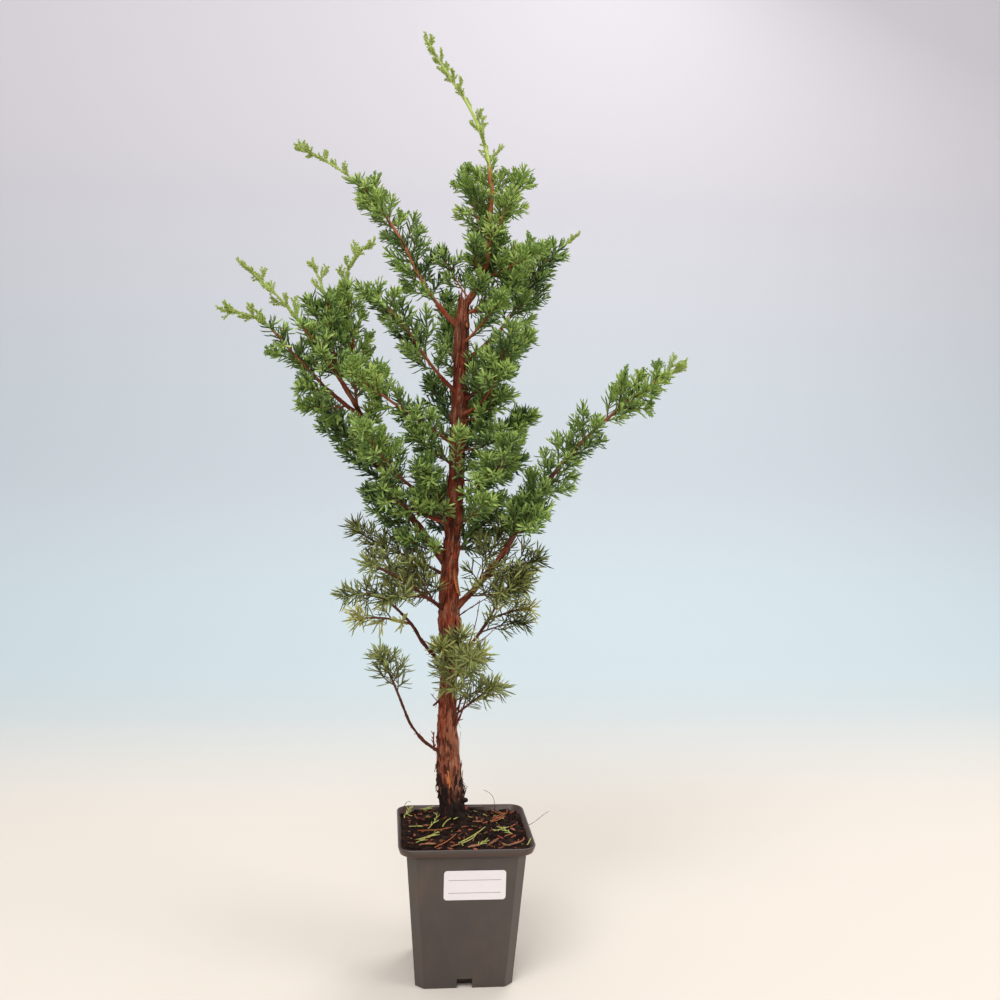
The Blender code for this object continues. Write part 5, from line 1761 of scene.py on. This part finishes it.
class JUNIPER_OT_litter(bpy.types.Operator):
    """Strews twigs, flakes of bark and green sprigs over the peat"""
    bl_idname = "juniper.litter"
    bl_label = "Litter"

    CHIPS = 130

    def execute(self, context):
        rng = random.Random(SEED)
        sticks, flakes, sprigs = Shape(), Shape(), Shape()
        for item in LITTER:
            path = self.path(item, rng)
            if item.kind == "sprig":
                self.sprig(sprigs, path, rng)
            elif item.kind == "flake":
                self.flake(flakes, path, rng.uniform(0.6, 1.0), 0.95, rng)
            else:
                self.stick(sticks, path, 0.45, 0.75 if item.kind == "bit" else 0.0, 1.0)
        for _ in range(self.CHIPS):
            start = Vector((rng.uniform(-38.0, 38.0), rng.uniform(-38.0, 38.0)))
            turn = rng.uniform(0.0, math.tau)
            end = start + Vector((math.cos(turn), math.sin(turn))) * rng.uniform(1.2, 5.0)
            path = self.path(Litter("chip", start, end, rng.uniform(-0.3, 1.2)), rng)
            if rng.random() < 0.55:
                self.flake(flakes, path, rng.uniform(0.3, 1.0), rng.uniform(0.0, 0.35), rng)
            else:
                self.stick(sticks, path, rng.uniform(0.18, 0.4), rng.choice((0.0, 0.0, 0.6)), rng.random())
        for hair in HAIRS:
            self.hair(sticks, [Vector(point) for point in hair])
        finish_piece(sticks.build("litter_sticks", young_bark_finish()), "bark")
        finish_piece(flakes.build("litter_flakes", bark_finish(), smooth=False), "bark")
        finish_piece(sprigs.build("litter_sprigs", young_bark_finish()), "needles_bright")
        return {"FINISHED"}

    def path(self, item, rng):
        """A slightly bent line over the peat; its end is lifted."""
        points = []
        across = Vector((item.start[1] - item.end[1], item.end[0] - item.start[0])) * rng.uniform(-0.12, 0.12)
        for k in range(7):
            share = k / 6
            x, y = Vector(item.start).lerp(Vector(item.end), share) + across * math.sin(math.pi * share)
            points.append(Vector((x, y, soil_height(x, y) + 0.9 + item.lift * share)))
        low, high = points[0].z, points[-1].z
        for k, point in enumerate(points):
            point.z = max(point.z - 0.6, low + (high - low) * k / 6)
        return points

    def stick(self, shape, path, radius, green, warm):
        def surface(i, turn):
            grain = (path[i] + Vector((math.cos(turn), math.sin(turn), 0.0))) * MM
            return 1.0 + 0.25 * noise.noise(path[i] * 0.7), {"grain": grain, "green": green, "warm": warm}

        shape.tube(path, [radius * (1.0 - 0.4 * k / len(path)) for k in range(len(path))], 6, None, surface)

    def flake(self, shape, path, width, pale, rng):
        """A curled chip of bark."""
        points, last = [], len(path) - 1
        up = Vector((0.0, 0.0, 0.22))
        for k, centre in enumerate(path):
            way = (path[min(k + 1, last)] - path[max(k - 1, 0)]).normalized()
            half = width * (0.5 + 0.6 * math.sin(math.pi * k / last))
            wide = Vector((-way.y, way.x, rng.uniform(-0.3, 0.3))) * half
            points += [centre - wide - up, centre + wide - up, centre + wide + up, centre - wide + up]
        count = len(points)
        shape.add(points, ring_faces(len(path), 4), grain=[point * MM for point in points],
                  depth=[0.0] * count, stain=[rng.choice((0.0, 0.0, 0.4))] * count, pale=[pale] * count)

    def sprig(self, shape, path, rng):
        """A torn-off spray: a thin stem and stiff needles that fan out on its two sides."""
        self.stick(shape, path, 0.3, 0.75, 1.0)
        side = rng.choice((0.0, math.pi))
        for k in range(1, 6):
            way = (path[k + 1] - path[k - 1]).normalized()
            out = turned_out(way, side + rng.uniform(-0.5, 0.5), math.radians(rng.uniform(22.0, 38.0)))
            end = path[k] + out * rng.uniform(3.0, 6.0)
            end.z = max(end.z, soil_height(end.x, end.y) + 1.0)
            needle = [path[k].lerp(end, step / 3) for step in range(4)]
            self.stick(shape, needle, 0.36, rng.uniform(0.55, 1.0), 1.0)
            side = math.pi - side

    def hair(self, shape, knots):
        """A fine root hair along a smooth curve through the air."""
        path = []
        for k in range(13):
            t = k / 12
            weights = ((1 - t) ** 3, 3 * t * (1 - t) ** 2, 3 * t * t * (1 - t), t ** 3)
            path.append(sum((knot * weight for knot, weight in zip(knots, weights)), Vector((0.0, 0.0, 0.0))))
        self.stick(shape, path, 0.2, 0.0, 0.0)


class JUNIPER_OT_trunk(bpy.types.Operator):
    """Makes the trunk with its bark, peeling strips and dead snags"""
    bl_idname = "juniper.trunk"
    bl_label = "Trunk"

    CORNERS = 64
    RING = 0.9
    FOOT_STRIPS = 46
    TOP_STRIPS = 18

    def execute(self, context):
        bark = settings("bark")
        relief = in_mm(bark.relief)
        count = round((TRUNK_TOP - GROUND) / self.RING)
        heights = [GROUND + (TRUNK_TOP - GROUND) * i / count for i in range(count + 1)]

        def lobes(i, turn):
            deep = 0.12 * math.exp((GROUND - heights[i]) / 14.0) + 0.035
            return 1.0 + deep * math.sin(ROOT_LOBES * turn + heights[i] / 40.0)

        def tint(i, turn, high):
            """How darkened and how pale: the foot is stained by the soil, the trunk high in the crown is
            darkened with painted shade, and the left of the lower trunk is painted paler, as if lit.
            """
            edge = 124.0 + 7.0 * math.sin(turn * 2.0 + 1.0) + high * 9.0
            low = clamp((240.0 - heights[i]) / 60.0)
            # Painted light: the lower trunk is paler on its left, the side the light falls on.
            left = clamp(0.5 - 0.9 * math.cos(turn))
            soiled = clamp((edge - heights[i]) / 7.0)
            # Painted shade: above 310 mm, up in the crown, the trunk is darkened toward the stained colour.
            shaded = 0.38 * clamp((heights[i] - 310.0) / 40.0)
            return max(soiled, shaded), min(0.65, (0.2 + 0.5 * left) * low)

        shape = Shape()
        upright = [Vector((0.0, 0.0, 1.0))] * len(heights)
        bark_tube(shape, [trunk_point(z) for z in heights], [trunk_radius(z) for z in heights], self.CORNERS,
                  relief, 1.7, upright, lobes, tint)
        for number, snag in enumerate(SNAGS):
            self.snag(shape, snag, number)
        for number, twig in enumerate(DEAD):
            self.dead_twig(shape, twig, number)
        rng = random.Random(SEED)
        for _ in range(bark.strips):
            z = GROUND + 8.0 + (TRUNK_TOP - GROUND - 20.0) * rng.random() ** 1.25
            peeling_strip(shape, z, rng.uniform(0.0, math.tau), rng.uniform(6.0, 26.0), rng.uniform(0.8, 3.2),
                          rng.uniform(0.0, 2.6) * rng.random(), rng)
        for _ in range(self.FOOT_STRIPS):
            peeling_strip(shape, rng.uniform(GROUND + 3.0, GROUND + 30.0), rng.uniform(0.0, math.tau),
                          rng.uniform(6.0, 15.0), rng.uniform(1.2, 3.4), rng.uniform(1.0, 3.4), rng)
        for _ in range(self.TOP_STRIPS):
            peeling_strip(shape, TRUNK_TOP - rng.uniform(6.0, 16.0), rng.uniform(0.0, math.tau),
                          rng.uniform(12.0, 18.0), rng.uniform(0.9, 2.2), rng.uniform(-0.5, 2.0), rng, 1)
        finish_piece(shape.build("trunk_bark", bark_finish()), "bark", "trunk")
        torn = Shape()
        for tear in TEARS:
            peeling_strip(
                torn, tear.height, math.radians(tear.turn), tear.length, tear.width, tear.curl, rng, -1)
        finish_piece(torn.build("trunk_torn_bark", plain_finish("torn_bark", tuple(bark.raw), 0.8)), "bark")
        return {"FINISHED"}

    def snag(self, shape, snag, number):
        """A dead stub, from inside the trunk outwards: stained at the foot, pale at the trunk's top."""
        start, way = trunk_point(snag.height), heading(snag.toward, snag.rise)
        core = trunk_radius(snag.height)
        steps = 14
        run = core * 0.6 + snag.length
        centres = [start + way * (core * 0.4 + run * k / steps) for k in range(steps + 1)]
        radii = [snag.radius * (1.0 - 0.55 * (k / steps) ** 1.5) for k in range(steps + 1)]
        tint = (0.4, 0.0)
        if snag.height < 120.0:
            tint = (1.0, 0.0)
        elif snag.height > TRUNK_TOP - 20.0:
            tint = (0.0, 0.8)
        bark_tube(shape, centres, radii, 12, 0.35, 9.0 + number, tint=lambda i, turn, high: tint)


    def dead_twig(self, shape, twig, number):
        """A thin dead twig along a curve, with stubs where its side twigs broke off."""
        foot, bend, end = (Vector(knot) for knot in (twig.foot, twig.bend, twig.end))
        rng = random.Random(SEED + number)
        steps = 14
        shares = [k / steps for k in range(steps + 1)]
        centres = [foot.lerp(bend, share).lerp(bend.lerp(end, share), share) for share in shares]
        radii = [twig.radius * (1.0 - 0.6 * k / steps) * rng.uniform(0.85, 1.2) for k in range(steps + 1)]
        bark_tube(shape, centres, radii, 7, 0.1, 20.0 + number, tint=lambda i, turn, high: (0.4, 0.0))
        for k in range(3, steps, 3):
            way = turned_out((centres[k] - centres[k - 1]).normalized(), rng.uniform(0.0, math.tau), 0.8)
            stub = [centres[k] + way * twig.radius * reach for reach in (0.0, 1.5, rng.uniform(2.5, 5.0))]
            bark_tube(shape, stub, [twig.radius * thick for thick in (0.6, 0.5, 0.25)], 5, 0.0, 5.0,
                      tint=lambda i, turn, high: (0.4, 0.0))


class JUNIPER_OT_boughs(bpy.types.Operator):
    """Makes the bare boughs and the stems that run on through the needles"""
    bl_idname = "juniper.boughs"
    bl_label = "Boughs and stems"

    def execute(self, context):
        stems, masses = Shape(), []
        for number, limb in enumerate(limbs().values()):
            axis = limb.axis
            if axis.bare:
                shape = Shape()
                self.stretch(shape, limb, 0.0, axis.bare + 0.01, 20, 0.8, 0.5, number)
                self.spurs(shape, limb, 0.04, axis.bare, 2.4, number)
                finish_piece(shape.build(axis.name + "_bark", bark_finish()), "bark", axis.name)
            self.stem(stems, limb)
            masses += [mass.name for mass in axis.masses if mass.name not in masses]
        finish_piece(stems.build("stems_bark", young_bark_finish()), "bark", *masses)
        return {"FINISHED"}

    def stretch(self, shape, limb, start, end, sides, ring, relief, number):
        """The bare stretch, with bark: thinner than its solid, and dark low on the tree."""
        name = limb.axis.name
        slim = SLIM.get(name, BOUGH)
        dark = 0.65 if name.startswith("low") else 0.3 if name in SLIM else 0.0
        count = max(3, round((end - start) * limb.axis.length / ring))
        shares = [start + (end - start) * k / count for k in range(count + 1)]
        swell = [1.0 + 0.35 * math.exp(-share * limb.axis.length / 5.0) for share in shares]
        bark_tube(shape, [limb.point(share) for share in shares],
                  [limb.radius(share) * wide * slim for share, wide in zip(shares, swell)], sides, relief,
                  3.0 + number, tint=lambda i, turn, high: (dark, 0.0))

    def spurs(self, shape, limb, start, end, every, number):
        """Short broken twig ends and leaf scars that stand off the bark."""
        rng = random.Random(SEED + number)
        length = limb.axis.length
        along = start * length + 2.0
        roll = rng.uniform(0.0, math.tau)
        while along < end * length:
            share = along / length
            roll += GOLDEN * rng.uniform(0.7, 1.3)
            way = turned_out(limb.way(share), roll, math.radians(rng.uniform(38.0, 66.0)))
            thick = rng.uniform(0.22, 0.42)
            tall = limb.radius(share) * 0.9 + rng.uniform(0.5, 1.6)
            foot = limb.point(share)
            centres = [foot + way * tall * k / 3 for k in range(4)]
            radii = [thick * 1.7, thick * 1.3, thick, thick * 0.45]
            bark_tube(shape, centres, radii, 5, 0.0, 5.0)
            along += every * rng.uniform(0.5, 1.5)

    def stem(self, shape, limb):
        """The clothed stretch: smooth bark that turns green where the shoot is young."""
        axis = limb.axis
        count = max(4, round((1.0 - axis.bare) * axis.length / 2.2))
        shares = [axis.bare + (1.0 - axis.bare) * k / count for k in range(count + 1)]
        young = axis.masses[-1].start + (1.0 - axis.masses[-1].start) * axis.masses[-1].shoot
        young = young if young < 1.0 else 0.9
        centres = [limb.point(share) for share in shares]

        def surface(i, turn):
            along = shares[i] * axis.length
            bumps = 1.0 + 0.16 * noise.noise(Vector((math.cos(turn), math.sin(turn), along / 3.0)))
            green = clamp((shares[i] - young) * axis.length / 10.0 + 0.5)
            grain = Vector((math.cos(turn), math.sin(turn), along)) * MM
            warm = clamp((centres[i].z - 330.0) / 130.0)
            return bumps, {"grain": grain, "green": green, "warm": warm}

        thin = STEMS.get(axis.name, STEM)
        radii = [limb.radius(share) * thin * (0.75 if share > young else 1.0) for share in shares]
        shape.tube(centres, radii, 8, None, surface)


class JUNIPER_OT_twigs(bpy.types.Operator):
    """Makes the twigs that carry the needles"""
    bl_idname = "juniper.twigs"
    bl_label = "Twigs"

    def execute(self, context):
        growth = grown()
        foliage = settings("foliage")
        colours = {"twig": foliage.twig, "sprig": foliage.sprig, "straw": foliage.straw,
                   "cords": foliage.lime, "scales": foliage.fresh}
        for kind, chains in growth.wood.items():
            obj = chain_object("twigs_" + kind, chains, ("radius",))
            material = plain_finish("twig_" + kind, tuple(colours[kind]), 0.6)
            run_tree(obj, wood_tree(), sides=4, material=material)
            finish_piece(obj, "bark", *sorted({chain.mass for chain in chains}))
        return {"FINISHED"}


class JUNIPER_OT_needles(bpy.types.Operator):
    """Makes the needles, each colour apart, and the scaly cords of the young shoots"""
    bl_idname = "juniper.needles"
    bl_label = "Needles"

    SLOTS = {"deep": "needles_dark", "leaf": "needles_mid", "fresh": "needles_bright",
             "lime": "needles_bright", "grey": "needles_olive", "dusk": "needles_olive",
             "straw": "needles_yellow", "cords": "needles_bright", "scales": "needles_bright"}
    MOST = 190000
    NEEDLE_FACES = 10

    def execute(self, context):
        growth = grown()
        foliage = settings("foliage")
        needle = needle_shape()
        for kind, chains in sorted(growth.leafy.items()):
            colour, slot = self.colour(kind, foliage), self.SLOTS[kind.replace("_tips", "")]
            # The upper face of each needle takes a paler copy of its colour: the pale band, partly a painted
            # highlight.
            pale = colour.lerp(Vector(foliage.bloom), 0.12 if slot == "needles_olive" else 0.24) * 1.1
            material = plain_finish("needles_" + kind, tuple(colour * 0.80), 0.5, 0.14)
            bloom = plain_finish("bloom_" + kind, tuple(pale), 0.55, 0.14)
            spacing, length, width, lean = self.sizes(kind, foliage)
            total = sum((b - a).length for chain in chains for a, b in zip(chain.points, chain.points[1:]))
            parts = math.ceil(total * MM / spacing * 3 * self.NEEDLE_FACES * 1.25 / self.MOST)
            for part in range(parts):
                own = chains[part::parts]
                obj = chain_object(f"needles_{kind}_{part}", own, ("vigour", "open"))
                run_tree(obj, needle_tree(), needle=needle, spacing=spacing, length=length, width=width,
                         lean=lean, seed=SEED + part, material=material, bloom=bloom)
                finish_piece(obj, slot, *sorted({chain.mass for chain in own}))
        remove(needle)
        return {"FINISHED"}

    def colour(self, kind, foliage):
        if kind not in BLENDS:
            return Vector(getattr(foliage, kind))
        blend = BLENDS[kind]
        return Vector(getattr(foliage, blend.first)).lerp(Vector(getattr(foliage, blend.second)), blend.part)

    def sizes(self, kind, foliage):
        """Spacing, length, width and lean of a kind of needle."""
        spacing, length, width, lean = (
            foliage.whorl_every, foliage.needle_length, foliage.needle_width, foliage.needle_lean)
        if kind in ("cords", "scales"):
            return spacing * 0.34, length * 0.19, width * 0.66, lean * 0.8
        if kind in ("grey_tips", "straw_tips"):
            return spacing * 1.15, length * 1.08, width * 0.85, lean * 1.1
        if kind.endswith("_tips"):
            return spacing * 0.7, length * 0.7, width, lean * 0.76
        if kind in ("grey", "dusk", "straw"):
            return spacing * 1.5, length * 1.3, width * 0.85, lean * 1.2
        return spacing, length, width, lean


PIECES = (
    JUNIPER_OT_stage,
    JUNIPER_OT_pot,
    JUNIPER_OT_label,
    JUNIPER_OT_soil,
    JUNIPER_OT_litter,
    JUNIPER_OT_trunk,
    JUNIPER_OT_boughs,
    JUNIPER_OT_twigs,
    JUNIPER_OT_needles,
)
SETTINGS = {
    "pot": PotSettings,
    "label": LabelSettings,
    "soil": SoilSettings,
    "bark": BarkSettings,
    "foliage": FoliageSettings,
    "stage": StageSettings,
}


class JUNIPER_PT_pieces(bpy.types.Panel):
    """Lists the pieces and their sizes and colours"""
    bl_idname = "JUNIPER_PT_pieces"
    bl_label = "Juniper"
    bl_space_type = "VIEW_3D"
    bl_region_type = "UI"
    bl_category = "Juniper"

    def draw(self, context):
        for piece in PIECES:
            self.layout.operator(piece.bl_idname)
        for name, group in SETTINGS.items():
            column = self.layout.box().column()
            column.label(text=name.capitalize())
            for field in group.__annotations__:
                column.prop(settings(name), field)


def register():
    for made in (*SETTINGS.values(), *PIECES, JUNIPER_PT_pieces):
        bpy.utils.register_class(made)
    for name, group in SETTINGS.items():
        setattr(bpy.types.Scene, "juniper_" + name, PointerProperty(type=group))


def unregister():
    for name in SETTINGS:
        delattr(bpy.types.Scene, "juniper_" + name)
    for made in reversed((*SETTINGS.values(), *PIECES, JUNIPER_PT_pieces)):
        bpy.utils.unregister_class(made)


def main():
    register()
    for piece in PIECES:
        group, name = piece.bl_idname.split(".")
        getattr(getattr(bpy.ops, group), name)()


if __name__ == "__main__":
    main()
